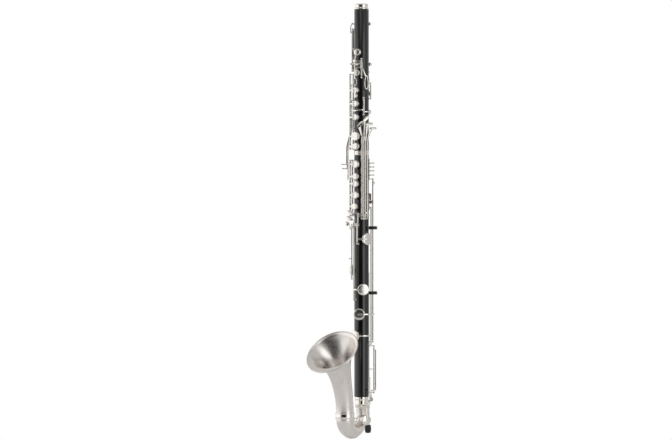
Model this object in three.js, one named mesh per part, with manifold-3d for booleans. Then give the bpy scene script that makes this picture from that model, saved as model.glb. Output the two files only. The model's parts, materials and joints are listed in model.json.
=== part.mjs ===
// A low-C bass clarinet: grenadilla body in two joints, metal bow and forward-facing bell,
// plated keywork on parallel hinge lines, and a sliding floor peg. The neck is not fitted.
//
// Frame: millimetres. +Z runs up the bore from the bell towards the neck, -Y is the front
// (finger plates, bell mouth), +Y the back (thumbs), +X the player's left. The origin is the
// bore's centre in the plane of the neck receiver's top rim.
// Places round the bore are written as an angle from the front towards the player's left,
// a radius from the bore's axis, and a height z.
import * as THREE from 'three';
import { mergeVertices } from 'three/addons/utils/BufferGeometryUtils.js';
import Module from 'manifold-3d';

const wasm = await Module();
wasm.setup();

// ---------- driving dimensions ----------
const BODY_R = 19; // outside of both wooden joints
const BORE_R = 11.8;
const GAP = 0.3; // between touching pieces
const RECEIVER = { top: 0, bottom: -14, r: 17.2, band: 18.3 };
const UPPER = { top: -14, bottom: -382 };
const RING = { top: -382, bottom: -393, r: 20.2 };
const LOWER = { top: -393, bottom: -1021 };
const TENON = { top: -1021, bottom: -1052, r: 16.6, neck: 14 };
const BOW = { top: -1052, bend: -1074, radius: 37.65, depth: 33.65, start: 13, end: 22.5, wall: 1.6 };
const BELL_Y = -2 * BOW.radius; // axis of the leg that carries the bell
const FERRULE = { bottom: -1076, top: -1057, inner: 23.4, r: 24.2 };
const BELL = { foot: -1082, rimY: -134, rimZ: -898, tilt: 47, throat: 22.5, rim: 71, wall: 1.6 };
const CHIMNEY = { top: 21.2, wall: 1.5 }; // tone-hole seats stand this far from the axis
const PAD = { seat: 21.5, thick: 2.8 }; // pad face of a closed key, and the pad's depth
const CUP_TOP = 29.4;
const ROD_R = 1; // steel hinge rods
const SLEEVE_R = 2; // hinge tubes that turn on them
const SLEEVE_BORE = 1.38;
// How many flat sides stand in for a circle.
const SIDES = { body: 16, bell: 22, bow: 14, cup: 10, sleeve: 6, rod: 6, hole: 8 };
const PEG = { y: 29.6, r: 4, top: -700, bottom: -1097, tip: -1117, tipR: 8.5 };

const finish = {
  wood: { color: 0x1c1a1a, roughness: 0.42, metalness: 0 },
  silver: { color: 0xe2dfd8, roughness: 0.16, metalness: 1 },
  satin: { color: 0xcbc6bf, roughness: 0.38, metalness: 1 },
  steel: { color: 0xb9b9b6, roughness: 0.28, metalness: 1 },
  black: { color: 0x171b1b, roughness: 0.55, metalness: 0 },
  rubber: { color: 0x101312, roughness: 0.8, metalness: 0 },
};

// ---------- places and directions ----------
const rad = (degrees) => THREE.MathUtils.degToRad(degrees);
const at = (angle, radius, z) =>
  new THREE.Vector3(radius * Math.sin(rad(angle)), -radius * Math.cos(rad(angle)), z);
const outward = (angle) => at(angle, 1, 0);
const point = (x, y, z) => new THREE.Vector3(x, y, z);
const UP = point(0, 0, 1);

// The direction that `axis` leaves of `wish` once its share along `axis` is taken out.
const squareTo = (wish, axis) => wish.clone().projectOnPlane(axis).normalize();

// ---------- solids ----------
function toSolid(geometry) {
  const bare = geometry.clone();
  bare.deleteAttribute('normal');
  bare.deleteAttribute('uv');
  const merged = mergeVertices(bare, 1e-4);
  const corners = merged.index.array;
  const kept = [];
  for (let i = 0; i < corners.length; i += 3) {
    const [a, b, c] = [corners[i], corners[i + 1], corners[i + 2]];
    if (a !== b && b !== c && c !== a) kept.push(a, b, c);
  }
  const p = merged.attributes.position;
  let volume = 0;
  for (let i = 0; i < kept.length; i += 3) {
    const [a, b, c] = [0, 1, 2].map((k) => new THREE.Vector3().fromBufferAttribute(p, kept[i + k]));
    volume += a.dot(b.cross(c));
  }
  if (volume < 0) kept.reverse();
  const mesh = new wasm.Mesh({
    numProp: 3,
    vertProperties: new Float32Array(p.array),
    triVerts: new Uint32Array(kept),
  });
  return new wasm.Manifold(mesh);
}

// Moves a geometry so that its own Z runs along `zAxis` and its own X along `xAxis`.
function placed(geometry, origin, xAxis, zAxis) {
  const z = zAxis.clone().normalize();
  const x = squareTo(xAxis, z);
  const y = z.clone().cross(x);
  const m = new THREE.Matrix4().makeBasis(x, y, z).setPosition(origin);
  return toSolid(geometry.clone().applyMatrix4(m));
}

const anySide = (axis) => (Math.abs(axis.z) > 0.9 * axis.length() ? point(1, 0, 0) : UP);

// A body of revolution. The profile is a list of [radius, height] along `axis` from `origin`.
function turned(profile, origin, axis, sides) {
  const lathe = new THREE.LatheGeometry(profile.map(([r, h]) => new THREE.Vector2(r, h)), sides);
  lathe.rotateX(Math.PI / 2);
  return placed(lathe, origin, anySide(axis), axis);
}

function rod(a, b, radius = ROD_R, sides = SIDES.rod) {
  const axis = b.clone().sub(a);
  const length = axis.length();
  return turned([[0, 0], [radius, 0], [radius, length], [0, length]], a, axis, sides);
}

function sleeve(a, b, outer = SLEEVE_R, inner = SLEEVE_BORE, sides = SIDES.sleeve) {
  const axis = b.clone().sub(a);
  const length = axis.length();
  const wall = [[inner, 0], [outer, 0], [outer, length], [inner, length], [inner, 0]];
  return turned(wall, a, axis, sides);
}

function ball(centre, radius) {
  return toSolid(new THREE.SphereGeometry(radius, 6, 3).translate(centre.x, centre.y, centre.z));
}

// A flat bar from a to b, `endWidth` wide at b. Its wide face looks along `face`.
function bar(a, b, width, thickness, face, endWidth = width) {
  const axis = b.clone().sub(a);
  const box = new THREE.BoxGeometry(thickness, width, axis.length());
  const p = box.attributes.position;
  for (let i = 0; i < p.count; i += 1) {
    if (p.getZ(i) > 0) p.setY(i, (p.getY(i) * endWidth) / width);
  }
  return placed(box, a.clone().lerp(b, 0.5), face, axis);
}

// Part of a ring round the bore, between two angles.
function hoop(inner, outer, from, to, low, high) {
  const steps = Math.max(1, Math.round(Math.abs(to - from) / 30));
  const turn = (angle) => rad(angle - 90);
  const shape = new THREE.Shape();
  shape.absarc(0, 0, outer, turn(from), turn(to), to < from);
  shape.absarc(0, 0, inner, turn(to), turn(from), to > from);
  shape.closePath();
  const settings = { depth: high - low, bevelEnabled: false, curveSegments: steps };
  return toSolid(new THREE.ExtrudeGeometry(shape, settings).translate(0, 0, low));
}

// An oval finger touch, open in the middle where `open` is set.
function leaf(centre, normal, along, halfLength, halfWidth, thickness, open = 0) {
  const shape = new THREE.Shape().absellipse(0, 0, halfLength, halfWidth, 0, 2 * Math.PI);
  if (open) {
    const [a, b] = [halfLength - open, halfWidth - open];
    shape.holes.push(new THREE.Path().absellipse(0, 0, a, b, 0, 2 * Math.PI));
  }
  const settings = { depth: thickness, bevelEnabled: false, curveSegments: open ? 8 : 6 };
  const plate = new THREE.ExtrudeGeometry(shape, settings).translate(0, 0, -thickness / 2);
  return placed(plate, centre, along, normal);
}

const join = (solids) => solids.reduce((whole, next) => whole.add(next));

// Bends a body of revolution that stands along +Z so that its axis follows `curve`.
function bent(profile, curve, sides) {
  const lathe = new THREE.LatheGeometry(profile.map(([r, h]) => new THREE.Vector2(r, h)), sides);
  const length = curve.getLength();
  const p = lathe.attributes.position;
  const sideways = point(1, 0, 0);
  for (let i = 0; i < p.count; i += 1) {
    const t = THREE.MathUtils.clamp(p.getY(i) / length, 0, 1);
    const centre = curve.getPointAt(t);
    const across = curve.getTangentAt(t).cross(sideways);
    centre.addScaledVector(sideways, p.getX(i)).addScaledVector(across, p.getZ(i));
    p.setXYZ(i, centre.x, centre.y, centre.z);
  }
  return toSolid(lathe);
}

// ---------- the assembly ----------
const clarinet = new THREE.Group();
clarinet.name = 'bass_clarinet';

function add(name, solid, look, pivot = point(0, 0, 0), turn = 0, axis = UP) {
  const mesh = solid.getMesh();
  const geometry = new THREE.BufferGeometry();
  geometry.setAttribute('position', new THREE.BufferAttribute(mesh.vertProperties, 3));
  geometry.setIndex(new THREE.BufferAttribute(mesh.triVerts, 1));
  geometry.translate(-pivot.x, -pivot.y, -pivot.z);
  const piece = new THREE.Mesh(geometry, new THREE.MeshStandardMaterial(finish[look]));
  piece.name = name;
  piece.position.copy(pivot);
  piece.quaternion.setFromAxisAngle(axis, rad(turn));
  clarinet.add(piece);
}

// ---------- tone holes ----------
// Every padded hole: its angle, height and cup radius. The holes follow from the cups.
const CUPS = {
  throatA: { angle: 10, z: -126.6, r: 8.8 },
  throatG: { angle: 3, z: -180, r: 8.5, top: 28.2 },
  lh1: { angle: 0, z: -225, r: 8.3 },
  lh2: { angle: 0, z: -260, r: 8.7 },
  lh3: { angle: 0, z: -295, r: 8.8 },
  ventLarge: { angle: 0, z: -344.5, r: 12 },
  ventSmall: { angle: 2, z: -370.2, r: 9.2 },
  rh1: { angle: 0, z: -417, r: 10.4 },
  rhVent: { angle: 0, z: -448.5, r: 9 },
  rh2: { angle: -1, z: -467.6, r: 9 },
  rh3: { angle: -1, z: -497, r: 10 },
  rhLow: { angle: -6, z: -526.5, r: 9.2 },
  sliver: { angle: 97, z: -281, r: 6 },
  side1: { angle: -135, z: -216, r: 6.5 },
  side2: { angle: -135, z: -256, r: 6.5 },
  side3: { angle: -135, z: -296, r: 6.5 },
  thumb: { angle: 172, z: -232, r: 7.5, top: 27.5 },
  registerHigh: { angle: 150, z: -50, r: 4.6, top: 26.5 },
  registerLow: { angle: 150, z: -156, r: 4.6, top: 26.5 },
  lowF: { angle: 70, z: -611, r: 15.5 },
  lowE: { angle: -80, z: -692, r: 14 },
  lowEFlat: { angle: 45, z: -742, r: 15 },
  lowD: { angle: 20, z: -806, r: 15 },
  lowCSharp: { angle: -12, z: -862, r: 15 },
};
const holeR = (cup) => Math.min(cup.r * 0.56 + 0.4, 8.6);

function woodenJoint(top, bottom) {
  const wall = [
    [BORE_R, bottom], [BODY_R, bottom], [BODY_R, top - 0.8], [BODY_R - 0.8, top],
    [BORE_R, top], [BORE_R, bottom],
  ];
  let joint = turned(wall, point(0, 0, 0), UP, SIDES.body);
  const mine = Object.values(CUPS).filter((cup) => cup.z < top && cup.z > bottom);
  for (const cup of mine) {
    const hole = holeR(cup);
    const [inside, seat] = [at(cup.angle, 15, cup.z), at(cup.angle, CHIMNEY.top, cup.z)];
    joint = joint.add(rod(inside, seat, hole + CHIMNEY.wall, SIDES.hole));
  }
  for (const cup of mine) {
    const [inside, beyond] = [at(cup.angle, 6, cup.z), at(cup.angle, 30, cup.z)];
    joint = joint.subtract(rod(inside, beyond, holeR(cup), SIDES.hole));
  }
  // The chimneys' inner ends must not narrow the bore.
  return joint.subtract(rod(point(0, 0, bottom - 1), point(0, 0, top + 1), BORE_R, SIDES.body));
}

add('upper_joint', woodenJoint(UPPER.top - GAP, UPPER.bottom + GAP), 'wood');
add('lower_joint', woodenJoint(LOWER.top - GAP, LOWER.bottom + GAP), 'wood');

// ---------- body metal ----------
function collar(profile, sides = SIDES.body) {
  return turned([...profile, profile[0]], point(0, 0, 0), UP, sides);
}

add('neck_receiver', collar([
  [BORE_R, RECEIVER.bottom], [RECEIVER.band, RECEIVER.bottom], [RECEIVER.band, -10.5],
  [RECEIVER.r, -9.5], [RECEIVER.r, -2], [RECEIVER.r - 1.8, RECEIVER.top], [BORE_R, RECEIVER.top],
]), 'silver');

add('middle_ring', collar([
  [BORE_R, RING.bottom], [RING.r, RING.bottom], [RING.r, RING.top], [BORE_R, RING.top],
]), 'silver');

// The low C key turns between two posts soldered to the tenon.
const LOW_C = { angle: 65, r: 25.5, z: -1046, half: 8 };
const lowCHinge = (offset, r = LOW_C.r) =>
  at(LOW_C.angle, r, LOW_C.z).addScaledVector(outward(LOW_C.angle + 90), offset);
add('bell_tenon', join([
  collar([
    [BORE_R, TENON.bottom], [TENON.neck, TENON.bottom], [TENON.r, -1047],
    [TENON.r, TENON.top], [BORE_R, TENON.top],
  ]),
  ...[-LOW_C.half, LOW_C.half].flatMap((offset) => [
    rod(lowCHinge(offset, 13.5), lowCHinge(offset), 1.4),
    ball(lowCHinge(offset), 2.3),
  ]),
  rod(lowCHinge(-LOW_C.half), lowCHinge(LOW_C.half)),
]), 'silver');

const smooth = (t) => THREE.MathUtils.smoothstep(t, 0, 1);

class UBend extends THREE.Curve {
  getPoint(t) {
    const turn = Math.PI * t;
    const depth = BOW.depth * Math.sin(turn);
    return point(0, -BOW.radius * (1 - Math.cos(turn)), BOW.bend - depth);
  }
}

const bowLine = new THREE.CurvePath();
bowLine.add(new THREE.LineCurve3(point(0, 0, BOW.top - GAP), point(0, 0, BOW.bend)));
bowLine.add(new UBend());
bowLine.add(new THREE.LineCurve3(point(0, BELL_Y, BOW.bend), point(0, BELL_Y, BELL.foot + 20)));

// The bow widens steadily from the tenon to the bell's leg.
function bowRadius(share) {
  return THREE.MathUtils.lerp(BOW.start, BOW.end, smooth((share - 0.12) * 1.25));
}

// A tube along a curve; `lip` thickens its far end.
function hollow(curve, radiusAt, wall, steps, sides, lip = 0) {
  const length = curve.getLength();
  const outside = [];
  const inside = [];
  for (let i = 0; i <= steps; i += 1) {
    const share = i / steps;
    outside.push([radiusAt(share), share * length]);
    inside.unshift([radiusAt(share) - wall, share * length]);
  }
  if (lip) {
    const [r, end] = outside.pop();
    outside.push([r, end - 1.5 * lip], [r + lip, end - 1.2 * lip], [r + lip, end]);
  }
  const profile = [...outside, ...inside, outside[0]];
  return bent(profile, curve, sides);
}

// A wear plate soldered to the outside of the bend, on the side towards the bell.
function wearPlate() {
  const [from, to, steps, width] = [0.42, 0.78, 7, 9];
  const along = Array.from({ length: steps + 1 }, (_, i) => from + ((to - from) * i) / steps);
  const edge = (extra) => along.map((share) => {
    const away = bowLine.getTangentAt(share).cross(point(-1, 0, 0));
    return bowLine.getPointAt(share).addScaledVector(away, bowRadius(share) + extra);
  });
  const outline = new THREE.Shape([...edge(-0.6), ...edge(2.4).reverse()].map(
    (p) => new THREE.Vector2(p.y, p.z),
  ));
  const strip = new THREE.ExtrudeGeometry(outline, { depth: width, bevelEnabled: false });
  strip.translate(0, 0, -width / 2);
  strip.applyMatrix4(new THREE.Matrix4().makeBasis(point(0, 1, 0), UP, point(1, 0, 0)));
  return toSolid(strip);
}

// The lowest tone hole stands on the bow, under the low C cup.
const LOW_C_CUP = { angle: 65, z: -1080, r: 13.5, hole: 8.5, seat: 20.5, top: 28.5 };
{
  const { angle, z, hole, seat } = LOW_C_CUP;
  const tube = hollow(bowLine, bowRadius, BOW.wall, 10, SIDES.bow);
  const chimney = rod(at(angle, 8, z), at(angle, seat, z), hole + 1.6, 10);
  const inner = hollow(bowLine, (share) => bowRadius(share) - BOW.wall, 8, 10, SIDES.bow);
  const bore = rod(at(angle, 4, z), at(angle, seat + 5, z), hole, 10);
  const whole = join([tube, chimney.subtract(inner), wearPlate()]);
  add('bow', whole.subtract(bore), 'satin');
}

add('bell_ferrule', turned([
  [FERRULE.inner, FERRULE.bottom], [FERRULE.r, FERRULE.bottom], [FERRULE.r + 0.9, -1069],
  [FERRULE.r + 0.9, -1059], [FERRULE.r, FERRULE.top], [FERRULE.inner, FERRULE.top],
  [FERRULE.inner, FERRULE.bottom],
], point(0, BELL_Y, 0), UP, SIDES.body), 'silver');

const tiltUp = point(0, -Math.sin(rad(BELL.tilt)), Math.cos(rad(BELL.tilt)));
const rimCentre = point(0, BELL.rimY, BELL.rimZ);
const bellLine = new THREE.CubicBezierCurve3(
  point(0, BELL_Y, BELL.foot + 20 + GAP),
  point(0, BELL_Y, BELL.foot + 85),
  rimCentre.clone().addScaledVector(tiltUp, -30),
  rimCentre,
);
const FLARE = 2.5; // how late the bell opens
function bellRadius(share) {
  const open = (Math.exp(FLARE * share * share) - 1) / (Math.exp(FLARE) - 1);
  return THREE.MathUtils.lerp(BELL.throat, BELL.rim, open);
}
add('bell', hollow(bellLine, bellRadius, BELL.wall, 9, SIDES.bell, 1.7), 'satin');

// A strut between the bow's two legs, with a curl in its middle.
{
  const curlAt = point(5, -36, -1079);
  const across = point(0, 1, 0);
  const hoopShape = leaf(curlAt, point(1, 0, 0), across, 6.5, 6.5, 3, 2.2);
  const legSide = point(5, -13.8, -1066);
  const bellSide = point(5, BELL_Y + FERRULE.r + 1.4, -1072);
  add('bell_brace', join([
    hoopShape,
    bar(point(5, -30.5, -1077.5), legSide, 2.6, 2.6, point(1, 0, 0)),
    bar(point(5, -41.5, -1077.5), bellSide, 2.6, 2.6, point(1, 0, 0)),
  ]), 'silver');
}

// ---------- supports on the back ----------
const THUMB_REST = { angle: 172, z: -512 };
{
  const { angle, z } = THUMB_REST;
  const face = outward(angle);
  add('thumb_rest', join([
    bar(at(angle, 20.8, z - 24), at(angle, 20.8, z + 14), 15, 3, face),
    bar(at(angle, 21, z), at(angle, 40, z + 2), 14, 3, UP),
    bar(at(angle, 39, z + 2), at(angle, 39, z - 7), 14, 3, face),
    bar(at(angle, 21, z + 6), at(angle, 37, z + 6), 33, 3.4, outward(angle + 90)),
    leaf(at(angle, 27.5, z - 17), outward(angle + 90), face, 6.5, 6.5, 3, 2.2),
  ]), 'silver');
}

const SOCKET = { top: -972, bottom: -1043, outer: 6.6 };
const SCREW = { z: -1030, hub: 2.4, head: 6.2 };
{
  const [low, high] = [point(0, PEG.y, SOCKET.bottom), point(0, PEG.y, SOCKET.top)];
  const boss = rod(point(0, PEG.y + 5.2, SCREW.z), point(0, PEG.y + 10, SCREW.z), 4.2, 10);
  const plateAt = (z) => point(0, 20.9, z);
  const body = join([
    rod(low, high, SOCKET.outer, 12),
    bar(plateAt(-1012), plateAt(-968), 17, 3, point(0, 1, 0)),
    bar(plateAt(-1010), point(0, 26, -1010), 7, 40, UP).add(
      bar(point(0, 21, -991), point(0, 25, -991), 38, 7, point(1, 0, 0)),
    ),
    boss,
  ]);
  const bore = rod(low.clone().setZ(low.z - 1), high.clone().setZ(high.z + 1), PEG.r + GAP, 14);
  const screwHole = rod(point(0, PEG.y, SCREW.z), point(0, PEG.y + 12, SCREW.z), SCREW.hub + GAP, 8);
  add('peg_socket', body.subtract(bore).subtract(screwHole), 'silver');

  const tipOfScrew = point(0, PEG.y + PEG.r + 0.5, SCREW.z);
  const headStart = point(0, PEG.y + 10.6, SCREW.z);
  const pivot = point(0, PEG.y, SCREW.z);
  add('peg_thumbscrew', join([
    rod(tipOfScrew, point(0, PEG.y + 12, SCREW.z), SCREW.hub - 0.1, 8),
    rod(headStart, point(0, PEG.y + 15.6, SCREW.z), SCREW.head, 12),
  ]), 'steel', pivot);
}

const pegFoot = point(0, PEG.y, PEG.bottom);
add('floor_peg', join([
  rod(pegFoot, point(0, PEG.y, PEG.top), PEG.r - 0.1, 12),
  ball(point(0, PEG.y, PEG.top), PEG.r - 0.1),
]), 'steel', pegFoot);
add('peg_tip', turned([
  [0, PEG.tip], [6, PEG.tip], [7.6, PEG.tip + 3.5], [PEG.tipR, PEG.tip + 10],
  [7.8, PEG.bottom - 1], [6.6, PEG.bottom + 1], [PEG.r + 0.2, PEG.bottom + 1],
  [PEG.r + 0.2, PEG.bottom - GAP], [0, PEG.bottom - GAP],
], point(0, PEG.y, 0), UP, SIDES.body), 'rubber', pegFoot);

// ---------- hinge lines along the body ----------
const LINE = {
  register: { angle: -55, r: 24.5, posts: [-66, -118, -174] },
  gSharp: { angle: 34, r: 25, posts: [-144, -192] },
  upperStack: { angle: -50, r: 30, posts: [-184, -267, -323, -377] },
  sliver: { angle: 48, r: 25, posts: [-245, -288] },
  side: { angle: -100, r: 25, posts: [-196, -236, -276, -316] },
  lowerStack: { angle: -50, r: 30, posts: [-407, -455, -505, -550] },
  pinkyHigh: { angle: 9, r: 27, posts: [-574, -623] },
  pinkyMid: { angle: -14, r: 27, posts: [-574, -768] },
  pinkyLow: { angle: -38, r: 27, posts: [-574, -714] },
  thumbPlate: { angle: 128, r: 23.6, posts: [-206, -246] },
  thumb: { angle: 125, r: 29.5, posts: [-455, -878] },
  thumbHigh: { angle: 162, r: 25, posts: [-404, -455] },
  thumbInner: { angle: 110, r: 26, posts: [-530, -884] },
  lowRod: { angle: 125, r: 32.6, posts: [-889, -949, -1010] },
};
const PINKY_ROWS = [36, 46, 57, 70].map((angle) => ({ angle, r: 25, posts: [-350, -557] }));

const on = (line, z) => at(line.angle, line.r, z);

// Ball-headed posts with the steel rod that runs through them, standing on one long foot.
function postsAndRod(line, ballR = 2.4, stemR = 1.4) {
  const { posts } = line;
  const foot = BODY_R + GAP;
  return join([
    rod(on(line, posts[0]), on(line, posts.at(-1))),
    ...posts.flatMap((z) => [
      ball(on(line, z), ballR),
      rod(at(line.angle, foot, z), on(line, z), stemR),
    ]),
  ]);
}

add('register_hinge', postsAndRod(LINE.register), 'silver');
add('upper_stack_hinge', postsAndRod(LINE.upperStack, 2.7), 'silver');
add('sliver_hinge', postsAndRod(LINE.sliver), 'silver');
add('side_key_hinge', postsAndRod(LINE.side), 'silver');
add('lower_stack_hinge', postsAndRod(LINE.lowerStack, 2.7), 'silver');
add('low_rod_hinge', postsAndRod(LINE.lowRod), 'silver');

// A strap under several posts makes them one fitting.
function strap(from, to, z) {
  return hoop(BODY_R + 2 * GAP, BODY_R + 1.7, from, to, z - 3, z + 3);
}

add('lh_pinky_hinges', join([
  ...PINKY_ROWS.map((line) => postsAndRod(line, 2)),
  ...PINKY_ROWS[0].posts.map((z) => strap(31, 75, z)),
]), 'silver');

const { pinkyHigh, pinkyMid, pinkyLow, thumb: thumbLine, thumbInner } = LINE;
add('rh_pinky_hinges', join([
  ...[pinkyHigh, pinkyMid, pinkyLow].map((line) => postsAndRod(line)),
  strap(-43, 14, -574),
]), 'silver');

// Black guides hold the long thumb rods to the wood.
const BRACKET = { low: -751, high: -582, half: 4.3, foot: [80, 134], tongue: [103, 129], reach: 41.5 };
const bracketClear = (line, z) =>
  rod(on(line, z - 20), on(line, z + 20), SLEEVE_R + 2 * GAP, 12);
for (const [name, z] of [['rod_bracket_upper', BRACKET.high], ['rod_bracket_lower', BRACKET.low]]) {
  const [bottom, top] = [z - BRACKET.half, z + BRACKET.half];
  const foot = hoop(BODY_R + GAP, 23.2, ...BRACKET.foot, bottom, top);
  const block = foot.add(hoop(22, BRACKET.reach, ...BRACKET.tongue, bottom, top));
  add(name, block.subtract(bracketClear(thumbLine, z)).subtract(bracketClear(thumbInner, z)), 'black');
}

add('thumb_key_hinges', join([
  postsAndRod(thumbLine),
  postsAndRod(thumbInner, 2.2),
  postsAndRod(LINE.thumbHigh, 2.2),
  strap(105, 130, -881),
  strap(120, 166, -455),
]), 'silver');

// The A key rocks on a short rod across the front; its posts share a foot with the G# key's.
const ROCKER = { angle: 2, r: 33.2, z: -157, half: 6 };
const rockerEnd = (offset, r = ROCKER.r) =>
  at(ROCKER.angle, r, ROCKER.z).addScaledVector(outward(ROCKER.angle + 90), offset);
add('throat_key_hinges', join([
  postsAndRod(LINE.gSharp),
  rod(rockerEnd(-ROCKER.half), rockerEnd(ROCKER.half)),
  ...[-ROCKER.half, ROCKER.half].flatMap((offset) => [
    ball(rockerEnd(offset), 2.2),
    rod(rockerEnd(offset, 18.9), rockerEnd(offset), 1.3),
  ]),
  strap(-20, 38, -157),
  rod(at(34, BODY_R + GAP + 0.5, -158), at(34, BODY_R + GAP + 0.5, -144), 0.5, 6),
]), 'silver');

// The left thumb's two keys: the plate on an upright rod, the register touch on a rod across.
const TOUCH = { r: 25.6, z: -176, half: 6 };
{
  const end = (side, r = TOUCH.r) => point(side * TOUCH.half, r, TOUCH.z);
  add('left_thumb_hinges', join([
    postsAndRod(LINE.thumbPlate, 2.2),
    strap(124, 200, -206),
    rod(end(-1), end(1)),
    ...[-1, 1].flatMap((side) => [
      ball(end(side), 2.1),
      rod(end(side, 19.8), end(side), 1.3),
      bar(point(side * TOUCH.half, 20, -206), point(side * TOUCH.half, 20, -173), 3, 1.1,
        point(0, 1, 0)),
    ]),
  ]), 'silver');
}

// ---------- keys ----------
// A key's cup with its pad, closed on its tone hole.
function cup({ angle, z, r, top = CUP_TOP }) {
  const seat = PAD.seat;
  return turned([
    [0, seat], [r - 1, seat], [r, seat + PAD.thick], [r, top - 1.2], [r - 1.2, top], [0, top],
  ], at(angle, 0, z), outward(angle), SIDES.cup);
}

const tube = (line, low, high) => sleeve(on(line, low), on(line, high));

// A key's arm leaves its sleeve above the rod, so that the bore stays clear.
function arm(line, z, goal, width = 4, thickness = 2.2, face = UP) {
  const start = on(line, z);
  const way = goal.clone().sub(start).setZ(0).normalize();
  return bar(start.addScaledVector(way, 1.7), goal, width, thickness, face);
}

// Turning about a hinge line by a positive angle (right hand, +Z) lifts a cup or lets it down.
function liftSign(line, target) {
  const lever = at(target.angle, 25, 0).sub(on(line, 0));
  return Math.sign(UP.clone().cross(lever).dot(outward(target.angle)));
}

// `rest` is how far, in degrees, the key stands open before it is pressed.
function addKey(name, line, solids, rest = 0, target = { angle: 0 }) {
  const whole = join(solids).subtract(rod(on(line, -1200), on(line, 10), SLEEVE_BORE - 0.03, SIDES.sleeve));
  add(name, whole, 'silver', on(line, 0), rest * liftSign(line, target));
}

const OPEN = 4; // degrees by which the open-standing keys are raised at rest

// Register keys: vents on the back, reached round the far side of the body.
{
  const line = LINE.register;
  const { registerHigh, registerLow } = CUPS;
  addKey('upper_register_key', line, [
    tube(line, -114.5, -69.5),
    bar(at(-55, 28.7, -76), at(-55, 28.7, -60.5), 3, 2.4, outward(-55)),
    bar(at(-55, 28.7, -61), at(-55, 24, -51.5), 3, 2.4, outward(-55)),
    bar(at(-55, 25.6, -73), at(-55, 29, -73), 5, 3, UP),
    hoop(22.6, 24.8, -52, -214, -53, -49),
    cup({ ...registerHigh, top: 26.5 }),
  ]);
  addKey('lower_register_key', line, [
    tube(line, -170.5, -121.5),
    bar(at(-55, 25.6, -156), at(-55, 29, -156), 4, 4, UP),
    hoop(27.5, 29.7, -52, -214, -158, -154),
    cup({ ...registerLow, top: 28.6 }),
  ]);
  const [hubLow, hubHigh] = [-2.9, 2.9].map((x) => point(x, TOUCH.r, TOUCH.z));
  const back = point(0, 1, 0);
  const touch = join([
    sleeve(hubLow, hubHigh, SLEEVE_R + 0.1),
    bar(point(0, TOUCH.r, TOUCH.z + 1.8), point(0, 25, -154.5), 4, 2, back),
    bar(point(0, TOUCH.r + 0.4, TOUCH.z - 1.8), point(0, 27.6, -190), 4, 2.2, back),
    leaf(point(0, 27.8, -196), back, UP, 10, 6, 2.4),
  ]);
  const clear = rod(point(-9, TOUCH.r, TOUCH.z), point(9, TOUCH.r, TOUCH.z), SLEEVE_BORE - 0.03);
  add('register_touch', touch.subtract(clear), 'silver', point(0, TOUCH.r, TOUCH.z));
}

// Throat keys.
{
  const { throatA, throatG } = CUPS;
  const pivotLine = [rockerEnd(-2.8), rockerEnd(2.8)];
  const lever = (z, angle) => at(angle, ROCKER.r - 0.2, z);
  const rocker = join([
    sleeve(...pivotLine, SLEEVE_R + 0.2, SLEEVE_BORE),
    bar(lever(-128, 9), lever(-155.2, 2), 3, 2.2, outward(4)),
    bar(lever(-158.8, 2), lever(-194, 2), 3, 2.2, outward(2)),
    cup({ ...throatA, top: ROCKER.r - 1 }),
    bar(lever(-193, 2), lever(-196, 4), 3, 2.2, outward(2)),
    leaf(lever(-204, 4.5), outward(4), UP, 10.5, 5, 2.2, 1.9),
  ]);
  const clear = rod(rockerEnd(-9), rockerEnd(9), SLEEVE_BORE - 0.03, SIDES.sleeve);
  add('throat_a_key', rocker.subtract(clear), 'silver', at(ROCKER.angle, ROCKER.r, ROCKER.z));

  const line = LINE.gSharp;
  const high = 27.4;
  addKey('throat_g_sharp_key', line, [
    tube(line, -188.5, -147.5),
    arm(line, -166.5, at(4, high, -166.5), 3, 2.2, outward(20)),
    bar(at(4, high, -166), at(4, high, -176), 3, 2.2, outward(4)),
    cup(throatG),
    arm(line, -150, at(-7, 27.8, -150), 2.6, 2, outward(14)),
    leaf(at(-9, 27.6, -149.5), outward(-9), UP, 4, 4, 2),
    sleeve(on(line, -170), on(line, -153), SLEEVE_R + 0.7, SLEEVE_BORE),
    bar(at(38, 27.2, -168), at(56, 28.6, -189), 3.2, 2.2, outward(48)),
    leaf(at(61, 28.4, -205), outward(61), UP, 19, 5.6, 2.2, 2.1),
  ]);
}

// A finger plate or vent cup on one of the stacks, with its arm from the hinge line.
function stackKey(name, line, target, low, high, extra = []) {
  const goal = at(target.angle, 26.6, target.z).addScaledVector(outward(target.angle - 90), target.r - 2);
  const z = THREE.MathUtils.clamp(target.z, low + 3, high - 3);
  addKey(name, line, [
    tube(line, low, high), cup(target), arm(line, z, goal, 5, 2.6, outward(-28)), ...extra,
  ], OPEN, target);
}

{
  const line = LINE.upperStack;
  const spatula = cup({ angle: 0, z: -240, r: 5.6, top: 28.4 });
  const keeper = bar(at(0, 27, -232), at(0, 27, -236), 5, 2.4, outward(0));
  stackKey('lh1_plate', line, CUPS.lh1, -243, -187.5, [spatula, keeper]);
  stackKey('lh2_plate', line, CUPS.lh2, -263.5, -243.5);
  stackKey('lh3_plate', line, CUPS.lh3, -319.5, -270.5);
  stackKey('upper_vent_large', line, CUPS.ventLarge, -355, -326.5);
  stackKey('upper_vent_small', line, CUPS.ventSmall, -373.5, -355.5);
}
{
  const line = LINE.lowerStack;
  stackKey('rh1_plate', line, CUPS.rh1, -429.5, -410.5);
  stackKey('rh_vent_high', line, CUPS.rhVent, -451.5, -430);
  stackKey('rh2_plate', line, CUPS.rh2, -477.5, -458.5);
  stackKey('rh3_plate', line, CUPS.rh3, -501.5, -478);
  stackKey('rh_vent_low', line, CUPS.rhLow, -546.5, -508.5);
}

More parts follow.
